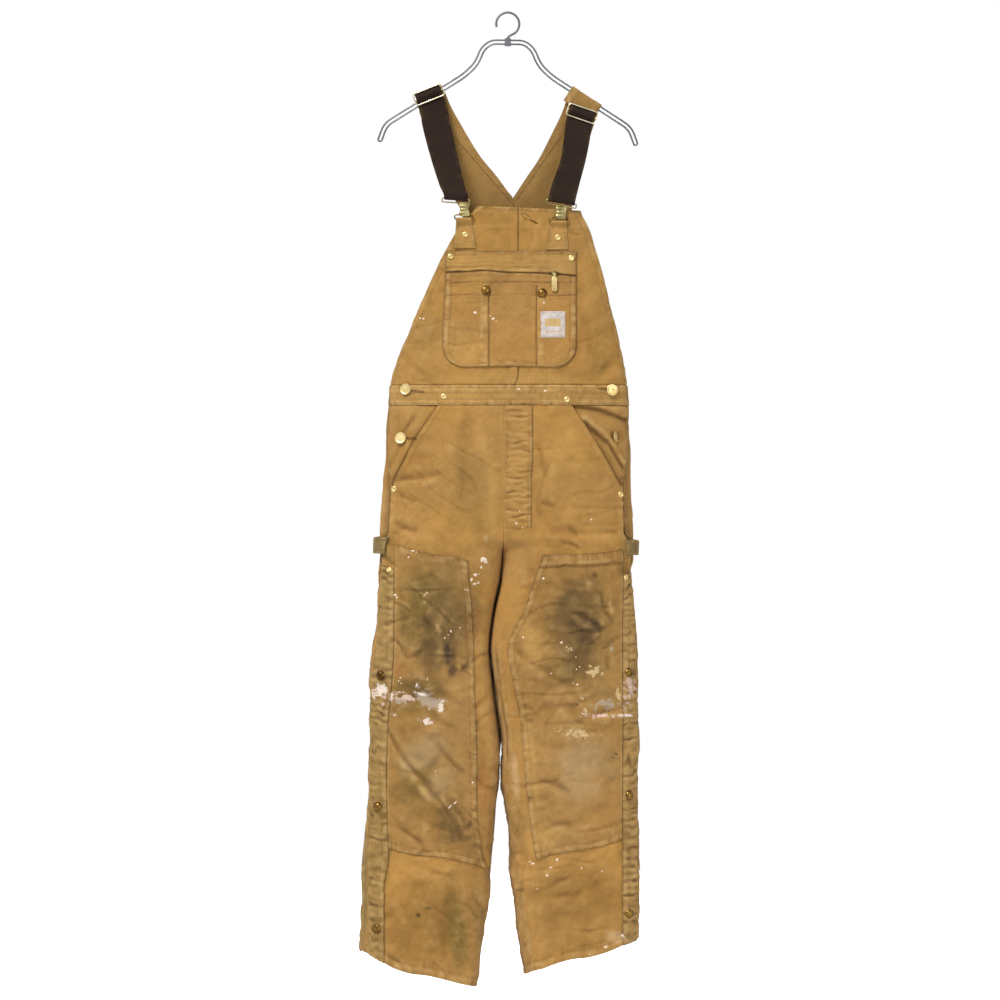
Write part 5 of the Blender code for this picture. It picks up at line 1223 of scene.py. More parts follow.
def makeFly():
    sheet = onLeg(1, flyLook, 3, lambda share: legTop + 0 * share,
                  lambda share: mix(legTop, lineAt(1, "patchTop", share), 0.82), 204.0, 45.0)
    x, y, z = np.moveaxis(sheet["points"], -1, 0)
    tucks = np.zeros(x.shape)
    for number, place in enumerate(flyTucks):
        off = z - place - 2.4 * math.sin(number * 2.1) * (x - 16) / 20 - 1.6 * np.sin(x / 7 + number)
        depth = 1.1 + 0.7 * math.sin(number * 1.7)
        tucks -= depth * bell(off, 1.9) * bell(x - 8 - 14 * (number % 3), 17)
        tucks += 0.9 * bell(off + 4.5, 2.6) * bell(x - 12, 22)
    flush = 2.5 * (ease(1 - sheet["right"] / 7) + ease(1 - sheet["bottom"] / 7))
    # painted shade in the tucks and painted highlight on the puckers between them
    sew("flyPlacket", sheet, flyLook, 0.72 * tucks, 0.28 * np.clip(-tucks, 0, 1),
        0.2 * np.clip(tucks, 0, 1), np.clip(flush, 0, 2.5))


facingSags = (((100, -640), (150, -652), (190, -666)), ((128, -676), (166, -707), (192, -750)))


def makeFacing(side):
    z = np.linspace(legTop, mouthLow[side] - 16, 73)[:, None] * np.ones(37)
    mouth = slantX(side, z)
    angle = mix(guide("seam", z), angleAt(side, mouth, z) + 5, np.linspace(0, 1, 37))
    sheet = layOut(*surface(side, angle, z))
    x = sheet["points"][..., 0]
    sag = np.zeros(x.shape)
    for line in facingSags if side > 0 else ():
        off = z - lineZ(x, line)
        sag += 2.2 * bell(off - 9, 6.0) - 3.4 * bell(off, np.where(off > 0, 3.0, 8.0))
    if side > 0:
        sag -= 3.0 * bell(x - 178, 12) * bell(z + 697, 10)
    fade = ease(sheet["left"] / 6) * ease(sheet["top"] / 5) * ease(sheet["bottom"] / 8)
    tuck = 2.4 * ease(1 - sheet["right"] / np.maximum(sheet["right"][:, :1], 1) * 1.5)
    placket = 0.7 * ease((20 - sheet["left"]) / 1.6) * (side < 0)
    past = np.clip(side * (x - mouth), 0, None)    # how far outside the pocket's mouth
    down = np.clip((legTop - z) / (legTop - mouthLow[side]), 0, 1)
    # painted shadow inside the pocket's mouth, and on the right in the facing's sagging folds and low in the
    # mouth
    deep = bell(past, 1.4 + 2.4 * down) * (1.1 if side < 0 else 0.7)
    if side > 0:
        deep = deep + 0.5 * np.clip(-sag / 3.4, 0, 1) + 0.5 * ease(1.0 - past / 20) * ease((-690 - z) / 30)
    sew("sideFacing" + hands[side], sheet, facingLook,
        (sag + placket) * fade - tuck, 0.9 * deep)


def makeHammerLoop(side):
    share = shares(60.0, 1.8)
    z = rowsOf(*((-862, -888) if side < 0 else (-866, -890)), 26.0, 1.6)
    points, normals = surface(side, 33 - 75 * share + 0 * z, z + 0 * share)
    points = points + normals * (3.2 + 8 * np.sin(np.pi * share))[:, None]
    sew("hammerLoop" + hands[side], layOut(points, normals), hammerLook)


for side in hands:
    for make in (makeLegFront, makeLegBack, makeFacing, makeKnee, makeFlap, makeHammerLoop):
        make(side)
makeFly()

print("stage 6: waistband and bib")
waistLook = dict(clothLook, step=2.0, lift=0.6, wall=2.0, tint="band", band=0.25, pucker=1.3,
                 pleat=6.5, spill=2, bandPale=0.4, rows={"top": (4.5, 12), "bottom": (3, 9.5)},
                 seams=("left", "right"), free=("bottom", "top"), region="waist", edge=0.2)
waistBackLook = dict(waistLook, step=3.2, region="back")
bibLook = dict(clothLook, tint="bib", rows={"left": (3, 9), "top": (3,)}, free=("left", "top"),
               seams=("right", "bottom"), region="bib")
backBibLook = dict(clothLook, step=3.6, band=0.5, pucker=0.8, pleat=9.0, region="back", sparse=1,
                   rows={"left": (3, 10), "right": (3, 10)}, free=("left", "right"), seams=("bottom",))
waistLevel, bibLevel = -628.0, -560.0    # where the shares across are even
bibFronts = ("bibFrontLeft", "bibFrontRight")


def halfFront(side, z, look, level):
    start = anglePlace(guide("seam", z), z)
    places, share = fromPlace(side, level, anglePlace(guide("seam", level), level), look["step"])
    return surface(side, placeAngle(mix(start, 1, share), z), z + 0 * share)


def halfBack(side, z, look, level, fromSeam=True):
    places = evenPlaces(side, level, -1, 0.0, look["step"])
    angle = -placeAngle(places, z)
    if fromSeam:
        angle = np.concatenate([seamAngles(z), angle], 1)
    return surface(side, angle, z + 0 * angle)


def bothHalves(half, *given):     # a left and a right half grid that meet at the middle
    left, right = (half(side, *given) for side in hands)
    return layOut(*(np.concatenate([one, other[:, -2::-1]], 1) for one, other in zip(left, right)))


front = bothHalves(halfFront, rowsOf(waistTop, waistLow, 33.0, 1.6), waistLook, waistLevel)
flush = 1.2 * (bell(front["top"], 1.8) + bell(front["bottom"], 1.8))
sew("waistbandFront", front, waistLook, sink=flush)
back = bothHalves(halfBack, rowsOf(waistTop, waistLow, 33.0, 2.6), waistBackLook, waistLevel)
sew("waistbandBack", back, waistBackLook)
for side, top in ((-1, (-318, -320)), (1, (-326, -320))):
    places = evenPlaces(side, bibLevel, 1, 0.0, bibLook["step"])
    z = rowsOf(mix(*top, places), bibLow, 290.0, bibLook["step"])
    sheet = layOut(*surface(side, placeAngle(places, z), z))
    fell = 0.8 * ease((14 - sheet["right"]) / 1.6) * (side < 0) + 0.5 * ease((z + 356) / 1.6)
    sew("bibFront" + hands[side], sheet, bibLook, fell)
heights = rowsOf(backTop, bibLow, 274.0, backBibLook["step"])
back = bothHalves(halfBack, heights, backBibLook, bibLevel, False)
sew("backBib", back, backBibLook)

pocketLook = dict(clothLook, step=2.0, lift=1.9, wall=1.4, tint="pocket", band=0.3, pucker=0.9,
                  pleat=7.0, rows={"left": (2.6, 8.4), "right": (2.6, 8.4), "bottom": (2.6, 8.4)},
                  free=("left", "right", "bottom", "top"), region="pocket", edge=1.3, edgeWidth=1.6,
                  bandPale=0.5)
pocketBandLook = dict(pocketLook, tint="band", rows={"top": (2.6,), "left": (2.6,), "right": (2.6,)})
pocketShape = {"left": -102, "right": 112, "lowLeft": -107, "bottom": -582, "corner": 34,
               "bandTop": -392.5, "straight": 120.0}
zipLine = ((-102, -428), (-35, -424.5), (0, -428), (61, -429), (112, -434))
zipTapeLook = dict(clothLook, lift=0.7, wall=0.5, tint="zip", slot="zip_tape", material=wovenTape,
                   stains=0.3, lining="zip")
labelLook = dict(clothLook, step=1.2, lift=2.9, wall=0.7, tint="label", pucker=0.3, sparse=1,
                 free=("left", "right", "bottom", "top"), slot="label", stains=0.0, lining="label",
                 wear=0.2, pale="label")
labelPlace = {"left": 53.5, "right": 93.5, "top": -492, "bottom": -535}


def makePocket():
    shape = pocketShape
    share = shares(214.0, 2.0)
    x = mix(shape["left"], shape["right"], share)
    gape = bell(x - 77, 6.5)
    low = lineZ(x, zipLine) + 0.5 + 0.5 * noise(x / 16, 0, 0, 55) + 3.2 * gape
    z = rowsOf(shape["bandTop"], low, 34.0, 1.6)
    sheet = layOut(*frontAt(x, z))
    roll = 0.9 * bell(sheet["bottom"] - 2.2, 2.4) * (1 + 0.6 * noise(x / 20, 0, 0, 56))
    wander = 1.5 * noise(x / 30, 0, 0, 48)
    furrow = sum(depth * bell(sheet["top"] - place + wander, 1.8) * ease(0.6 + noise(x / 26, place, 0, 49))
                 for place, depth in ((6.5, 0.7), (12, 0.6), (20, 0.5), (26, 1.1)))
    sew("pocketBand", sheet, pocketBandLook, roll - furrow, replaced="bib_pocket_band")

    z = lineZ(x, zipLine) + 2.2 - spaced(4.4, 1.5, (0.5, 1.0, 1.5))[:, None]
    sew("zipTape", layOut(*frontAt(x, z)), zipTapeLook)

    # the lower part runs straight down, then draws in round its lower corners
    corner, straight = shape["corner"], shape["straight"]
    steps = spaced(straight + corner * 1.571, 2.0)[:, None]
    arc, drop = np.clip(steps - straight, 0, None) / corner, np.clip(steps / straight, 0, 1)
    begin = lineZ(x, zipLine) - 0.5 - 0.4 * noise(x / 13, 0, 0, 57) - 2.6 * gape
    z = mix(begin, shape["bottom"] + corner, drop) - corner * np.sin(arc)
    draw = corner * (1 - np.cos(arc))
    left, right = mix(shape["left"], shape["lowLeft"], drop) + draw, shape["right"] - draw
    sheet = layOut(*frontAt(mix(left, right, share), z))
    x, y, z = np.moveaxis(sheet["points"], -1, 0)
    below = ease((-446 - z) / 6)
    dark = bell(x + 31, 1.1) + bell(x - 47, 1.1)
    felled = ease((6.5 - np.abs(x + 38.5)) / 1.4 + 0.5) + ease((5.5 - np.abs(x - 54)) / 1.4 + 0.5)
    pleat = 0.42 - np.abs(noise(x / 20, 0, z / 5.5, 58))
    seams = (felled * (0.5 + 1.1 * pleat) - 1.1 * dark) * below
    wander = 1.6 * noise(x / 28, 0, 0, 59)
    low = sum(depth * bell(z - place + wander, 1.3)
              for place, depth in ((-444, 1.0), (-450, 0.4), (-465, 0.9), (-471, 0.4)))
    onSides = ease((-44 - x) / 8) + ease((x - 62) / 8)
    lines = 0.5 * bell(z + 444 + wander, 1.0) * ease(0.7 + noise(x / 24, 0, 0, 60))
    lines += 0.55 * bell(z + 465 + wander, 1.0) * onSides
    # painted shade in the pen slots' seam grooves and along two furrows; paler felled bands with painted
    # highlight on their puckers
    sew("bibPocket", sheet, pocketLook, seams - low + 0.9 * bell(sheet["top"] - 2.0, 2.2),
        0.7 * dark * below + lines, felled * below * (0.42 + 0.4 * np.clip(pleat, 0, 1)))

    place = labelPlace
    x = mix(place["left"], place["right"], shares(40.0, labelLook["step"]))
    z = rowsOf(place["top"], place["bottom"], 43.0, labelLook["step"])
    sew("wovenLabel", layOut(*frontAt(x, z)), dict(labelLook, material=labelCloth),
        replaced="label")


# Plain woven label: pale ground, golden bands near its edges, from the flat map alone.
labelCloth, labelShader = newMaterial("labelWeave")
flat = node("UVMap", uv_map="flat").outputs[0]
across, down = node("SeparateXYZ", {0: flat}).outputs[:2]
gold = 0.0
for place, half in ((0.0185, 0.0062), (0.0335, 0.0007)):
    off = math2("ABSOLUTE", math2("SUBTRACT", down, place), 0.0)
    gold = math2("MAXIMUM", ranged(off, half, half + 0.0005, 1.0, 0.0), gold)
weave = node("TexWave", {"Vector": flat, "Scale": 520.0, "Distortion": 0.4}).outputs["Fac"]
inner = times(ranged(across, 0.007, 0.0076), ranged(across, 0.0330, 0.0324))
gold = times(gold, inner, ranged(weave, 0.0, 1.0, 0.7, 1.0))
dirt = noiseOf(node("TexCoord").outputs["Object"], 120.0, 4.0)
ground = mixed(ranged(dirt, 0.4, 0.75), opaque((214, 206, 206)), opaque((176, 160, 140)))
feed(labelShader, {"Base Color": mixed(gold, ground, opaque((198, 158, 82))), "Roughness": 0.7,
                   "Normal": bumped(weave, 0.4, 0.0003)})
makePocket()

print("stage 7: hanger, straps and webbing")
hangerLook = {"wire": 1.5, "spacing": 6.4, "armStart": 70, "armZ": -98, "slope": 0.638,
              "tilt": 0.015, "hookWire": 1.9, "hookInner": 17.0}
hangerTop = ((27, -47), (41, -58), (52, -84))    # corners of its right half above the arm
hookStem = ((0, 0, -48), (0, 0, -41.5), (1.2, 0, -38.2), (4.4, 0, -35.6), (8.6, 0, -33.6))
sleeveLevels = ((-6.4, 4.4, 3.0, 0), (-5.9, 5.0, 3.6, 0), (5.9, 5.0, 3.6, 0), (6.4, 4.4, 3.0, 0),
                (6.5, 2.4, 2.4, 0))
strapLook = dict(clothLook, step=2.3, tint="strap", rows={"left": (2.6, 12), "right": (2.6, 12)},
                 drape=0.0, free=("left", "right", "bottom"), region="straps", sparse=1,
                 lining="strap", stains=0.0, air=0.4)
# Left edge x and z, right edge x and z, and y, from the back bib up to the hanger.
strapRows = {
    -1: ((-75, -337.7, 8.75, -337.7, 17.5), (-75, -324, 8.75, -318, 16.5),
         (-86, -307, 8.7, -302, 15.5), (-92, -297, 1.5, -293, 15.0), (-103, -278, -17, -268, 13.5),
         (-119, -240, -45, -234, 11), (-134, -195, -74, -187, 8), (-145, -163, -96, -147, 5)),
    1: ((8.8, -337.7, 106, -337.7, 17.5), (8.8, -318, 106, -324, 16.5),
        (9.0, -302, 107, -307, 15.5), (14.5, -293, 110, -297, 15.0), (29, -271, 115, -278, 13.5),
        (50, -240, 125, -240, 11), (72, -198, 136, -200, 8), (91, -158, 146, -170, 5)),
}
strapEnds = {-1: (-151, -108, 5, 2), 1: (105, 153, 25, 4)}    # where each crosses, drop and rows
strapSeams = {-1: ((-88, -202), (11, -315)), 1: ((88, -200), (14, -307))}
slidePlaces = {-1: (-130, -134, 21.8), 1: (122, -165, -19)}   # x, z and tilt
slideLook = {"width": 52, "height": 22, "bar": 2.0, "barWire": 1.0, "y": -7.4, "corner": 4.0, "wire": 1.15}
webbingLook = dict(clothLook, step=1.5, lift=0.8, wall=1.6, tint="webbing", band=0.15, pucker=0.2,
                   pleat=9.0, rows={"left": (1.4,), "right": (1.4,)}, drape=0.0,
                   free=("left", "right"), slot="webbing", sparse=1, lining="webbing", stains=0.0,
                   wear=0.1, material=wovenTape, width=44.0, weave=2.5, rib=3.6, stitched=False)
webbingRows = {
    -1: ((-141, -182, -95, -178, -7.5), (-126, -240, -82, -238, -15), (-112, -284, -71, -284, -23)),
    1: ((92.5, -203, 134.5, -210, -9), (87, -240, 128, -242, -14.5), (72, -284, 116, -288, -22.5)),
}
claspLook = {"wire": 1.1, "height": 6.8, "corner": 1.9, "width": 17, "depth": 5.4, "y": -25}
clasps = {-1: {"loop": (-85, -306.5), "across": 47, "tilt": -4, "x": -72, "ringZ": -333, "ringX": -72,
               "waist": 0.34, "lean": 1.4},
          1: {"loop": (88, -311.5), "across": 52, "tilt": -10, "x": 88, "ringZ": -338, "ringX": 84,
              "waist": 0.16, "lean": -1.6}}
ringLook = {"width": 30, "height": 7.4, "corner": 3.2, "wire": 1.1}
backward = np.array((0.0, 1.0, 0.0))


def wireZ(x):                     # height of the hanger's arms
    look = hangerLook
    return look["armZ"] - (np.abs(x) - look["armStart"]) * look["slope"] - look["tilt"] * x


def roundedPath(corners, radius, steps=8):    # straight runs with each corner rounded off
    corners = [np.asarray(corner, float) for corner in corners]
    path, share = [corners[:1]], np.linspace(0, 1, steps + 1)[:, None]
    for before, corner, after in zip(corners, corners[1:], corners[2:]):
        lengths = [np.linalg.norm(end - corner) for end in (before, after)]
        reach = min(radius, lengths[0] / 2.05, lengths[1] / 2.05)
        start, end = (mix(corner, point, reach / length) for point, length in zip((before, after), lengths))
        path.append(start * (1 - share) ** 2 + corner * 2 * share * (1 - share) + end * share * share)
    return np.concatenate(path + [corners[-1:]])


def makeHanger():
    look = hangerLook
    reach = look["spacing"] / 2
    below = reach / math.cos(math.atan(look["slope"]))
    arm = [(x, wireZ(x) + look["tilt"] * x - below) for x in (72, 201)]
    half = [*hangerTop, *arm, (210, -210)]
    middle = [(-x, z) for x, z in reversed(half)] + half
    path = roundedPath([(x, 0, z - look["tilt"] * x) for x, z in middle], 12)
    ahead = unit(np.gradient(path, axis=0))
    square = np.stack([-ahead[:, 2], np.zeros(len(path)), ahead[:, 0]], -1)
    turns = np.radians(np.arange(15, 166, 15))[:, None]
    right, left = (path[end] + reach * way * (square[end] * np.cos(turns) + ahead[end] * np.sin(turns))
                   for end, way in ((-1, 1), (0, -1)))
    loop = np.concatenate([path + square * reach, right, (path - square * reach)[::-1], left])
    fitted("hangerFrame", [wire(loop, look["wire"], 14, True)], hangerSteel, 60)
    arc = look["hookInner"] + look["hookWire"]
    turns = np.radians(np.arange(-50, 196, 5))
    bow = np.stack([arc * np.cos(turns), 0 * turns, arc * np.sin(turns) - look["hookInner"]], -1)
    stem = through([*hookStem, bow[0]], 1.5)[:-1]
    hook = wire(np.concatenate([stem, bow]), look["hookWire"], 16)
    fitted("hangerHook", [hook, stacked((0, 0, -46.9), sleeveLevels, 5, 32)], hangerSteel, 45)


def edgePairs(table):             # left and right edge points of a table's rows
    return [((leftX, y, leftZ), (rightX, y, rightZ)) for leftX, leftZ, rightX, rightZ, y in table]


def makeStrap(side):
    look, spacing = strapLook, hangerLook["spacing"]
    start, end, drop, count = strapEnds[side]
    up = tilted(math.degrees(math.atan2(wireZ(end) - wireZ(start), end - start)))[1]
    outer = hangerLook["wire"] + look["air"] + look["wall"]
    ends = np.array([(x, 0, wireZ(x)) for x in (start, end)])
    rows = edgePairs(strapRows[side]) + [ends + backward * outer - up * spacing * 0.8]
    rows += [ends + outer * (backward * math.cos(turn) + up * math.sin(turn))
             for turn in np.radians(np.arange(0, 181, 22.5))]
    rows += [ends - backward * outer - up * down for down in np.linspace(0, drop, count)[1:]]
    sheet = ribbon(rows, look["step"], 95.0, 3, 1)
    x, y, z = np.moveaxis(sheet["points"], -1, 0)
    rise = sheet["bottom"] - drop
    rumple = 1.6 * noise(x / 40, y / 40, z / 60, 71 + side) + 0.7 * noise(x / 16, 0, z / 20, 73 + side)
    calm = ease((rise - 16) / 60) * ease(sheet["top"] / 30)
    sew("strap" + hands[side], sheet, look, (rumple - 1.2 * bell(rise - 60, 40)) * calm)
    # the dark seam on the face that shows between the straps, which is this shell's inner wall
    inside = {"final": sheet["final"] - sheet["normals"] * look["wall"], "slopes": -sheet["slopes"]}
    seam = mix(*np.array(strapSeams[side]), np.linspace(0, 1, 90)[:, None])
    points, slopes, far = dropOn(inside, seam[:, 0], seam[:, 1])
    stitchRow("straps", points[far < 2.6], slopes[far < 2.6], pitch=1.4, width=1.7, shade="spot")


def slideFrame(side):             # centre, width direction and upward direction of a slide
    x, z, tilt = slidePlaces[side]
    return np.array((x, slideLook["y"], z)), *tilted(tilt)


def oblong(width, height, radius, steps=6):    # closed rounded oblong as pairs, from the top
    turns = np.radians(np.linspace(0, 90, steps + 1))
    bow = np.stack([np.sin(turns), np.cos(turns)], -1) * radius + (width / 2 - radius, height / 2 - radius)
    right = np.concatenate([bow, bow[::-1] * (1, -1)])
    return np.concatenate([right, -right])


def ringWire(centre, across, up, width, height, look, steps=6):    # an oblong of wire
    ring = oblong(width, height, look["corner"], steps)
    return wire(centre + ring[:, :1] * across + ring[:, 1:] * up, look["wire"], 12, True)


def makeSlide(side):
    centre, across, up = slideFrame(side)
    look, inset = slideLook, 2 * slideLook["wire"]
    half = (look["width"] - inset) / 2
    bar = wire(centre + np.linspace(-half, half, 9)[:, None] * across, look["barWire"], 10)
    ring = ringWire(centre, across, up, look["width"] - inset, look["height"] - inset, look)
    fitted("slide" + hands[side], [ring, bar], paleBrass, 50)


def makeWebbing(side):
    look, clasp = webbingLook, clasps[side]
    centre, across, up = slideFrame(side)
    pitch = (slideLook["height"] - slideLook["bar"]) / 2
    ends = np.array((-1, 1))[:, None]
    rows = [centre - up * pitch * step - backward * look["weave"] * math.cos(math.pi * min(step, 1))
            + ends * across * look["width"] / 2 for step in np.linspace(-1, 1.25, 16)]
    rows += edgePairs(webbingRows[side])
    along, up = tilted(clasp["tilt"])
    bar = np.array((clasp["loop"][0], claspLook["y"], clasp["loop"][1]))
    wrap, half = claspLook["wire"] + 0.45 + look["wall"] / 2, clasp["across"] / 2 - 4
    turns = [wrap * (backward * math.cos(turn) + up * math.sin(turn))
             for turn in np.radians(np.arange(180, 361, 22.5))]
    rows += [bar + offset + ends * along * half for offset in turns + [backward * (wrap + 0.6) + up * 9]]
    sheet = ribbon(rows, look["step"], look["width"], 2, -1)
    ribs = 0.16 * np.cos(sheet["left"] * math.tau / look["rib"])
    sew("webbing" + hands[side], sheet, look, ribs)


def makeClasp(side):
    clasp, look = clasps[side], claspLook
    along, up = tilted(clasp["tilt"])
    drop, deep = look["height"] / 2, look["depth"] / 2
    centre = np.array((clasp["loop"][0], look["y"], clasp["loop"][1])) - up * drop
    loop = ringWire(centre, along, up, clasp["across"] - 2 * look["wire"], look["height"], look)
    top = centre[2] - drop + (clasp["x"] - centre[0]) * along[2] / along[0] + look["wire"]
    low = clasp["ringZ"] - deep
    share = np.linspace(1, 0, 29)
    edge = np.sin(math.pi * np.minimum(0.5, np.minimum(share, 1 - share) * 3.4 + 0.12))
    taper = 1.16 - clasp["waist"] * bell(share - 0.46, 0.2) - 0.12 * share
    levels = np.stack([(top - low) * (0.5 - share), look["width"] / 2 * edge ** 0.5 * taper,
                       deep * (0.72 + 0.22 * np.cos(share * math.tau * 4)) * edge, clasp["lean"] * share], -1)
    body = stacked((clasp["x"], look["y"], (low + top) / 2), levels, 2.8, 28)
    fitted("clasp" + hands[side], [loop, body], agedBrass, 42)
    centre = np.array((clasp["ringX"], look["y"], clasp["ringZ"] - ringLook["height"] / 2))
    ring = ringWire(centre, *tilted(0), ringLook["width"], ringLook["height"], ringLook, 8)
    fitted("tabRing" + hands[side], [ring], darkBrass, 60)


tabLook = dict(clothLook, step=1.6, wall=1.3, tint="band", band=0.15, pucker=0.4, pleat=7.0,
               rows={"left": (2.2,), "right": (2.2,)}, drape=0.0, sparse=1, lining="band",
               free=("left", "right", "top"), region="bib", stains=0.5, fold=3.0)
tabs = {-1: {"top": (-84.5, -59.5), "bottom": (-88, -52), "low": -387.5},
        1: {"top": (71, 96.5), "bottom": (62, 99), "low": -390}}


def makeTab(side):
    tab, fold = tabs[side], tabLook["fold"]
    barZ = clasps[side]["ringZ"] - ringLook["height"]
    # its outer face stands just clear of the bib behind it, up to the ring that it folds round
    x = np.linspace(*tab["bottom"], 5)
    path = [(0, frontAt(x, z)[0][:, 1].min() - 1.7, z) for z in np.linspace(tab["low"], barZ - 8, 6)]
    path += [(0, claspLook["y"] + fold * math.cos(turn), barZ + fold * math.sin(turn))
             for turn in np.radians(np.arange(210, -61, -15))]
    path = through(path, tabLook["step"])
    share = np.clip((path[:, 2:] - tab["low"]) / (barZ - tab["low"]), 0, 1)
    left, right = (mix(low, top, share) for low, top in zip(tab["bottom"], tab["top"]))
    x = mix(left, right, shares(30.0, tabLook["step"]))
    grid = np.stack([x, path[:, 1:2] + 0 * x, path[:, 2:] + 0 * x], -1)
    sew("tab" + hands[side], faced(grid, 2, 2, -1), tabLook)


makeHanger()
for side in hands:
    for make in (makeStrap, makeSlide, makeWebbing, makeClasp, makeTab):
        make(side)

print("stage 8: rivets, buttons, snaps and the zip")
# Radius and height pairs of each turned piece, how many sides it has, and its metal.
turnedMetal = {
    "rivet": (((0, -0.6), (4.3, -0.6), (4.7, 0.1), (4.6, 0.7), (3.9, 1.35), (2.9, 1.55), (2.2, 1.2),
               (1.8, 0.6), (1.3, 0.55), (1.0, 0.9), (0, 1.0)), 24, brightBrass),
    "button": (((0, -1.0), (3.8, -1.0), (3.8, 1.2), (8.8, 1.4), (9.4, 1.9), (9.5, 2.5), (9.0, 3.1),
                (8.2, 3.2), (7.5, 2.9), (6.8, 2.6), (5.0, 2.7), (0, 2.9)), 32, brightBrass),
    "snap": (((0, -0.672), (7.84, -0.672), (8.4, 0.224), (8.176, 1.008), (7.168, 1.68), (6.496, 1.456),
              (6.048, 2.128), (5.152, 3.248), (3.584, 4.032), (1.792, 4.424), (0, 4.48)), 32, darkBrass),
    "dome": (((0, -0.6), (7.4, -0.6), (7.8, 0.4), (7.3, 1.9), (6.0, 3.4), (4.2, 4.5), (2.2, 5.1),
              (0, 5.3)), 28, darkBrass),
}
# Name, kind, then x and z on the left and on the right.
metalPlaces = (
    ("rivetBib%s", "rivet", (-94, -401), (104, -404)), ("rivetTab%s", "rivet", (-70, -365), (82, -370)),
    ("rivetWaist%s", "rivet", (-105, -631), (96, -636)),
    ("rivetPocket%s", "rivet", (-186, -782), (185, -791)),
    ("rivetFlap%s", "rivet", (-194, -914), (193, -927)),
    ("buttonUpper%s", "button", (-167, -619), (170, -620)),
    ("buttonLower%s", "button", (-175, -699), (176, -696)),
    ("snapPocket%s", "snap", (-36, -457), (56, -462)),
    ("snapFlap%s1", "dome", (-208, -1086), (198, -1082)),
    ("snapFlap%s2", "dome", (-213, -1301), (199, -1283)),
    ("snapFlap%s3", "dome", (-214, -1500), (198, -1476)),
)
leaning = {"buttonLowerRight": (0.86, -0.5, 0.1)}    # turned away from the cloth's own way
for title, kind, *places in metalPlaces:
    profile, sides, metal = turnedMetal[kind]
    for hand, place in zip(hands.values(), places):
        spots, normals = topAt(*place)
        way = leaning.get(title % hand, normals[0])
        fitted(title % hand, [turned(np.array(profile), sides, spots[0], way)], metal, 35)

zipLook = {"x": 76, "from": -99, "to": 109.5, "pitch": 1.5, "gap": 4.5, "tooth": (0.42, 0.75, 0.825)}
pullLook = {"width": 9.0, "length": 28.0, "wall": 1.3, "hole": 1.1, "holeDown": 24.5, "corner": 3.2,
            "eye": 1.55, "eyeWire": 0.55}
sliderLevels = ((-4.2, 2.6, 0.8, 0), (-3.4, 4.0, 1.1, 0), (2.0, 4.5, 1.2, 0), (3.6, 3.6, 1.1, 0),
                (4.2, 2.4, 0.8, 0))
neckLevels = ((-2.4, 2.6, 0.6, 0), (0, 1.8, 0.6, 0), (2.2, 1.7, 0.6, 0))


def makeZip():
    look = zipLook
    x = np.arange(look["from"], look["to"], look["pitch"])
    x = x[np.abs(x - look["x"]) > look["gap"]]
    points, normals, far = dropOn(sheets["zipTape"], x, lineZ(x, zipLine))
    cube = np.array([(i, j, k) for i in (-1, 1) for j in (-1, 1) for k in (-1, 1)]) * look["tooth"]
    stagger = np.where(np.arange(len(x)) % 2, 0.45, -0.45)[:, None] * (0, 0, 1)
    teeth = (points + normals * 0.5 + stagger)[:, None] + cube
    faces = np.array([(0, 1, 3, 2), (4, 6, 7, 5), (0, 4, 5, 1), (2, 3, 7, 6), (0, 2, 6, 4), (1, 5, 7, 3)])
    faces = (faces[None] + 8 * np.arange(len(x))[:, None, None]).reshape(-1, 4)
    attach(joined("zipTeeth", [(teeth.reshape(-1, 3), [faces])], darkBrass, 30))

    # the slider's body and the post that the pull hangs on
    low, high = (np.array(corner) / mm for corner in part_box("zip_slider"))
    centre, z, face, axisY = look["x"], float(lineZ(look["x"], zipLine)), high[1], low[1] + 1.1
    post = [(2.9, face - 2.0), (2.9, axisY + 0.6), (2.3, axisY)]
    post = [(centre + x, y, z) for x, y in post + [(-x, y) for x, y in reversed(post)]]
    fitted("zipSlider", [stacked((centre, face - 1.3, z), sliderLevels, 4, 24),
                         wire(roundedPath(post, 0.8, 4), 0.75, 10, up=(0, 0, 1))], agedBrass, 40)

    # the pull: a plate with a hole, its neck, and three rings for the eye
    look = pullLook
    top, bottom = look["holeDown"] - 4.6, look["length"] - look["holeDown"]
    outline = oblong(look["width"], top + bottom, look["corner"], 15) + (0, (top - bottom) / 2)
    turn = np.arctan2(outline[:, 1], outline[:, 0])
    outline, turn = outline[np.argsort(turn)], np.sort(turn)
    hole, deep = np.stack([np.cos(turn), np.sin(turn)], -1) * look["hole"], look["wall"] / 2
    rings = ((hole, -deep), (hole * 1.05 + (outline - hole) * 0.03, -deep - 0.02), (outline * 0.975, -deep),
             (outline, -deep + 0.25), (outline, deep - 0.25), (outline * 0.975, deep), (hole, deep))
    plate = np.array([np.stack([ring[:, 0], 0 * turn + y, ring[:, 1] - look["holeDown"]], -1)
                      for ring, y in rings]) + (centre, axisY, z)
    turns = np.radians(np.arange(0, 360, 15))
    eye = look["eye"] * np.stack([0 * turns, np.sin(turns), np.cos(turns)], -1) + (centre, axisY, z)
    eyes = [wire(eye + (shift, 0, 0), look["eyeWire"], 10, True, (1, 0, 0)) for shift in (0, -1.3, 1.3)]
    neck = stacked((centre, axisY, z - 4.0), neckLevels, 5, 20)
    fitted("zipPull", [skin(plate, True), neck, *eyes], brightBrass, 40, body="pull")


makeZip()

print("stage 9: drawn stitches and spatter")
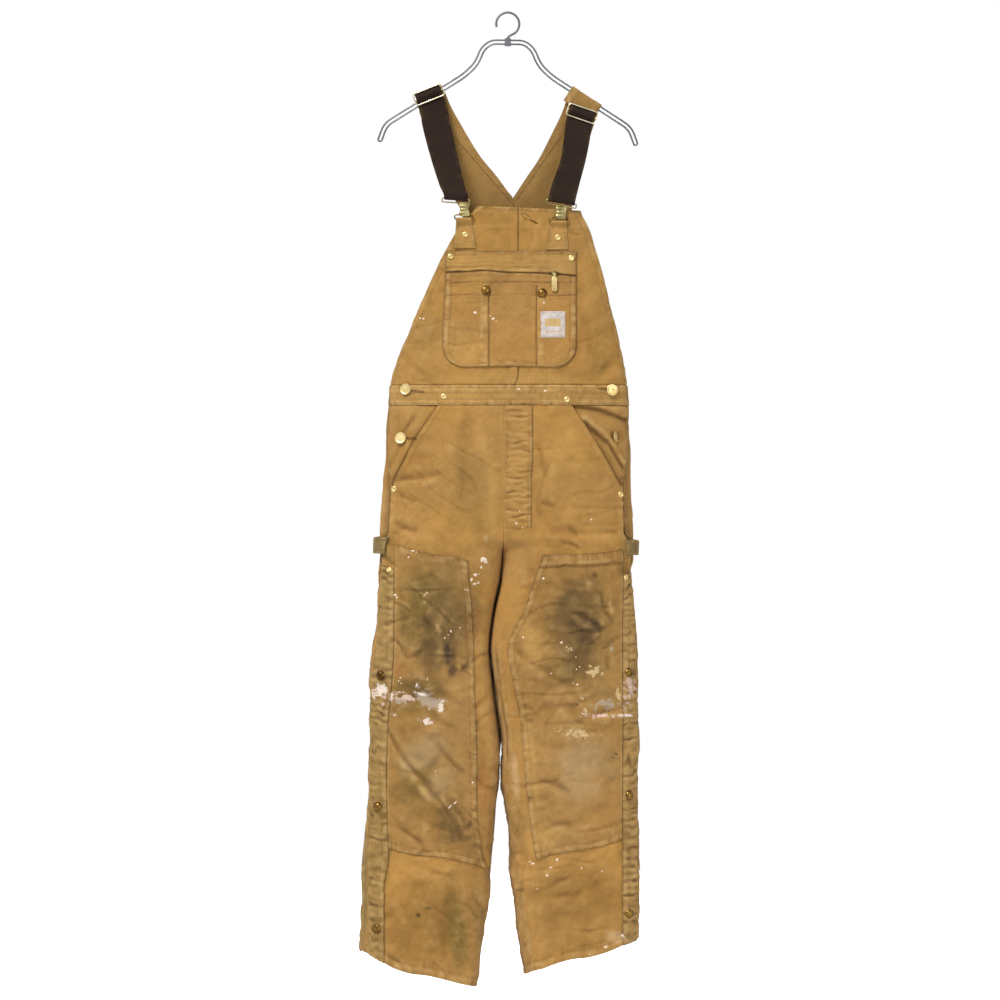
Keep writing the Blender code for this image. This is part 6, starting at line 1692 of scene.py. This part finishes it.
# Rows of stitching that cross a piece: the region, the cloth they lie on, then x and z along each.
drawnRows = (
    ("bib", bibFronts, ((18, -356, 131, -356), (-72, -352, 16, -356))),
    ("bib", ("bibFrontLeft",), ((5, -324, 5, -390), (14, -324, 14, -390), (5, -584, 5, -610),
                                (14, -584, 14, -610))),
    ("pocket", ("pocketBand",), ((-100, -398, 110, -399), (-100, -417, 110, -420))),
    ("pocket", ("bibPocket",), ((-100, -443, 110, -446), (-100, -467, -36, -468), (56, -470, 110, -470),
                                (-43.5, -450, -43.5, -578), (-34, -446, -34, -578), (50, -446, 50, -578),
                                (58, -544, 58, -578))),
    ("waist", ("waistbandFront",), ((174, -613, 174, -644), (188, -613, 188, -644),
                                    (-176, -613, -176, -644))),
    ("body", ("flyPlacket",), ((34, -650, 37, -720, 38, -800, 33, -846),)),
    ("body", ("legFrontRight",), ((43, -650, 43, -720, 42, -790, 38, -846, 20, -870, 2, -880),)),
    ("pocket", ("wovenLabel",), ((55.5, -494, 91.5, -494, 91.5, -533, 55.5, -533, 55.5, -494),)),
    ("bib", ("tabLeft",), ((-82, -351, -58, -351), (-85, -383, -54, -383))),
    ("bib", ("tabRight",), ((71, -354, 96, -354), (66, -385, 97, -385))),
    ("body", ("legFrontLeft",), ((-150, -646, -152, -680),)),
)
for region, names, paths in drawnRows:
    for path in paths:
        stitchRow(region, *drawnLine(names, np.reshape(path, (-1, 2))))

# Bar tacks: close stitches across a short line, in three passes.
barTacks = (("flyPlacket", 8, -843, 32, -846), ("legFrontLeft", -186, -770, -176, -764),
            ("legFrontRight", 176, -776, 186, -782), ("bibPocket", -100, -439, -92, -439),
            ("bibPocket", 102, -444, 110, -444), ("bibPocket", 28, -485, 46, -487),
            ("bibPocket", 26, -484, 38, -482), ("waistbandFront", -62, -615, -54, -615))
for name, *ends in barTacks:
    for shift in (-0.7, 0.0, 0.7):
        line = drawnLine((name,), np.reshape(ends, (2, 2)) + (0, shift), 0.8)
        stitchRow("body", *line, pitch=1.3, width=0.9)

# Buttonholes: a ring of close stitches round a slot, given by its ends, and half its width. In
# the narrow ones a dark run of stitches along the slot is painted shade in the slit.
buttonholes = ((25, -332.5, 34.5, -338.5, 3.3), (37, -341, 49, -347, 0.9), (-157, -621, -137, -624, 1.9),
               (150, -618, 162, -618, 1.9), (-165, -699, -150, -700, 1.9))
for *ends, half in buttonholes:
    ends = np.reshape(ends, (2, 2))
    run = unit(ends[1] - ends[0])
    long, off = (ends[1] - ends[0]) / 2 + run * half, np.array((-run[1], run[0])) * half
    turns = np.linspace(0, math.tau, 33)[:, None]
    loop = ends.mean(0) + np.cos(turns) * long + np.sin(turns) * off
    stitchRow("bib", *drawnLine(None, loop, 0.7), pitch=1.0, width=1.7, shade="groove")
    if half < 3:
        stitchRow("bib", *drawnLine(None, ends, 0.7), pitch=1.0, width=2.0, shade="spot")

# Paint drops with a body: x, z, half width, half height, turn. Low domes with uneven rims.
paintDrops = (
    (-53.4, -494, 2.6, 2.2, 0), (-24, -504, 2.6, 2, 20), (-29, -499, 1, 0.9, 0), (-19, -508, 1.1, 0.8, 0),
    (-144, -502, 1.4, 1.2, 0), (-138, -503, 1.9, 1.3, 10), (17.6, -619, 2, 1.8, 0), (61, -622, 2, 1.7, 0),
    (59, -478, 1.7, 1.4, 0), (-40, -897, 5.2, 3.6, 20), (-36, -901, 3.2, 2.6, 0), (-43, -910, 1.6, 2.8, 8),
    (-53, -922, 3, 2.4, 0), (-59, -930, 1.7, 3.4, -20), (-54, -937, 3.2, 1.5, 10), (-48, -935, 1.5, 2.2, 0),
    (-47, -921, 1, 1, 0), (-66, -947, 1.5, 1.3, 0), (-70, -946, 0.9, 1.4, 0), (-93, -1014, 1.5, 2.4, 15),
    (-103, -1025, 1.2, 1.4, 0), (-78, -1008, 1, 0.9, 0), (-97, -1020, 0.9, 0.8, 0), (-184, -955, 2, 1.7, 0),
    (-181, -959, 1.3, 1.5, 0), (-155, -883, 3.2, 1.3, -8), (-149, -885, 1.3, 0.9, 0),
    (-162, -893, 1.4, 2, 0), (58, -928, 2.1, 1.9, 0), (136, -832, 1.8, 1.5, 0), (25, -1024, 1.6, 1.5, 0),
    (71, -1083, 1.2, 1.4, 0), (87, -1032, 2.6, 1.8, 30), (90, -1036, 1.4, 1.1, 0),
    (86, -1047, 1.1, 2.8, 15), (104, -1045, 1.1, 1, 0), (111, -1056, 1.2, 0.9, 0), (113, -1101, 2, 1.3, 20),
    (107, -1099, 0.9, 0.8, 0), (-57.6, -1261, 1.9, 1.5, 0), (-118, -1243, 1, 0.9, 0),
    (41, -1394, 3, 1.4, 12), (36, -1391, 1.1, 1.4, 0), (80.5, -1387, 2, 2.4, 0), (70, -1400, 3.2, 1.3, 14),
    (64, -1413, 2.2, 1.9, 0), (120, -1401, 0.9, 2.2, 0), (48, -1435, 1.2, 1, 0),
    (153.6, -1406, 1.1, 0.9, 0), (-175, -1090, 1.5, 1.2, 0), (-178, -1095, 1, 1.3, 0),
    (-174, -1099, 1.2, 0.9, 0), (-86, -1294, 3.4, 1.1, 40), (-94, -1300, 4.6, 1, 46),
    (112, -1076, 1.3, 1, 0), (117, -1072, 1.1, 1.2, 0), (14, -838, 1.4, 2.2, 0), (24, -845, 1.5, 1.2, 0),
    (19, -818, 1.1, 1, 0), (159, -1529, 2.4, 1.6, 0), (187, -1511, 2.6, 1.7, 20), (134, -1541, 1.3, 1, 0),
)
dropLevels = ((1.0, -0.1), (0.96, 0.22), (0.72, 0.42), (0.36, 0.52))    # size and rise of each ring


# A drop is rings of shrinking ellipses whose rims wave in and out, laid on the cloth.
def makeDrops():
    parts = []
    turns = np.arange(14) / 14 * math.tau
    for number, (x, z, halfX, halfZ, turn) in enumerate(paintDrops):
        wave = 1 + 0.16 * np.sin(turns * 3 + number) + 0.10 * np.sin(turns * 5 + 2.3 * number)
        cosine, sine = math.cos(math.radians(turn)), math.sin(math.radians(turn))
        rings = []
        for size, rise in dropLevels:
            across, up = np.cos(turns) * wave * size * halfX, np.sin(turns) * wave * size * halfZ
            points, normals = topAt(x + across * cosine - up * sine, z + across * sine + up * cosine)
            rings.append(points + normals * rise * min(1.0, halfX / 2.5))
        rings = np.array(rings)
        if not np.isfinite(rings).all() or rings[..., 1].max() > 500:
            print("  drop off the cloth", number)
            continue
        parts.append(skin(rings))
    attach(joined("paintDrops", parts, driedPaint, 60))


makeDrops()
makeThreads()

print("stage 10: floor, light and camera")
viewLook = {"centre": (-0.0128, 0.0, -0.800), "height": 1.645, "lens": 120.0, "sensor": 36.0,
            "floor": -1.75, "floorSize": 3.0}
# Place, size, strength and colour of each lamp, all aimed at the middle of the garment.
lamps = {"keyLamp": ((-3.4, -4.2, 6.4), 2.6, 790.0, (1.0, 0.985, 0.96)),
         "fillLamp": ((3.5, -5.0, -0.6), 3.0, 68.0, (0.98, 0.99, 1.0)),
         "rearLamp": ((2.4, 5.0, 3.4), 2.0, 250.0, (1.0, 1.0, 1.0))}
for name, (place, size, strength, colour) in lamps.items():
    lamp = bpy.data.lights.new(name, "AREA")
    lamp.energy, lamp.color, lamp.shape = strength, colour, "RECTANGLE"
    lamp.size = lamp.size_y = size
    item = bpy.data.objects.new(name, lamp)
    bpy.context.scene.collection.objects.link(item)
    item.location = place
    item.rotation_euler = (Vector((0, 0, -0.8)) - Vector(place)).to_track_quat("-Z", "Y").to_euler()

white = (1.0, 1.0, 1.0, 1.0)
world = bpy.data.worlds.new("studio")
bpy.context.scene.world = world
world.use_nodes = True
tree = world.node_tree
tree.nodes.clear()
rays = node("LightPath").outputs
seen = math2("MAXIMUM", *(rays[way] for way in ("Is Camera Ray", "Is Glossy Ray", "Is Transmission Ray")))
pale, soft = (node("Background", {"Color": white, "Strength": strength}).outputs[0]
              for strength in (1.0, 0.28))
node("OutputWorld", {0: node("MixShader", {0: seen, 1: soft, 2: pale}).outputs[0]})

floorMaterial, floorShader = newMaterial("paleFloor")
glow = times(node("LightPath").outputs["Is Camera Ray"], 0.7)
feed(floorShader, {"Base Color": (0.9, 0.9, 0.9, 1), "Roughness": 0.9, "Emission Color": white,
                   "Emission Strength": glow})
corners = [(x * viewLook["floorSize"], y * viewLook["floorSize"], viewLook["floor"])
           for x, y in ((-1, -1), (1, -1), (1, 1), (-1, 1))]
floor = meshFrom("floor", np.array(corners) / mm, [np.array([[0, 1, 2, 3]])], floorMaterial)

camera = bpy.data.cameras.new("camera")
camera.lens, camera.sensor_width, camera.clip_end = viewLook["lens"], viewLook["sensor"], 100.0
distance = viewLook["height"] * viewLook["lens"] / viewLook["sensor"]
viewer = bpy.data.objects.new("camera", camera)
bpy.context.scene.collection.objects.link(viewer)
viewer.location = (viewLook["centre"][0], -distance, viewLook["centre"][2])
viewer.rotation_euler = (math.radians(90), 0, 0)
bpy.context.scene.camera = viewer
bpy.context.scene.view_settings.view_transform = "Standard"
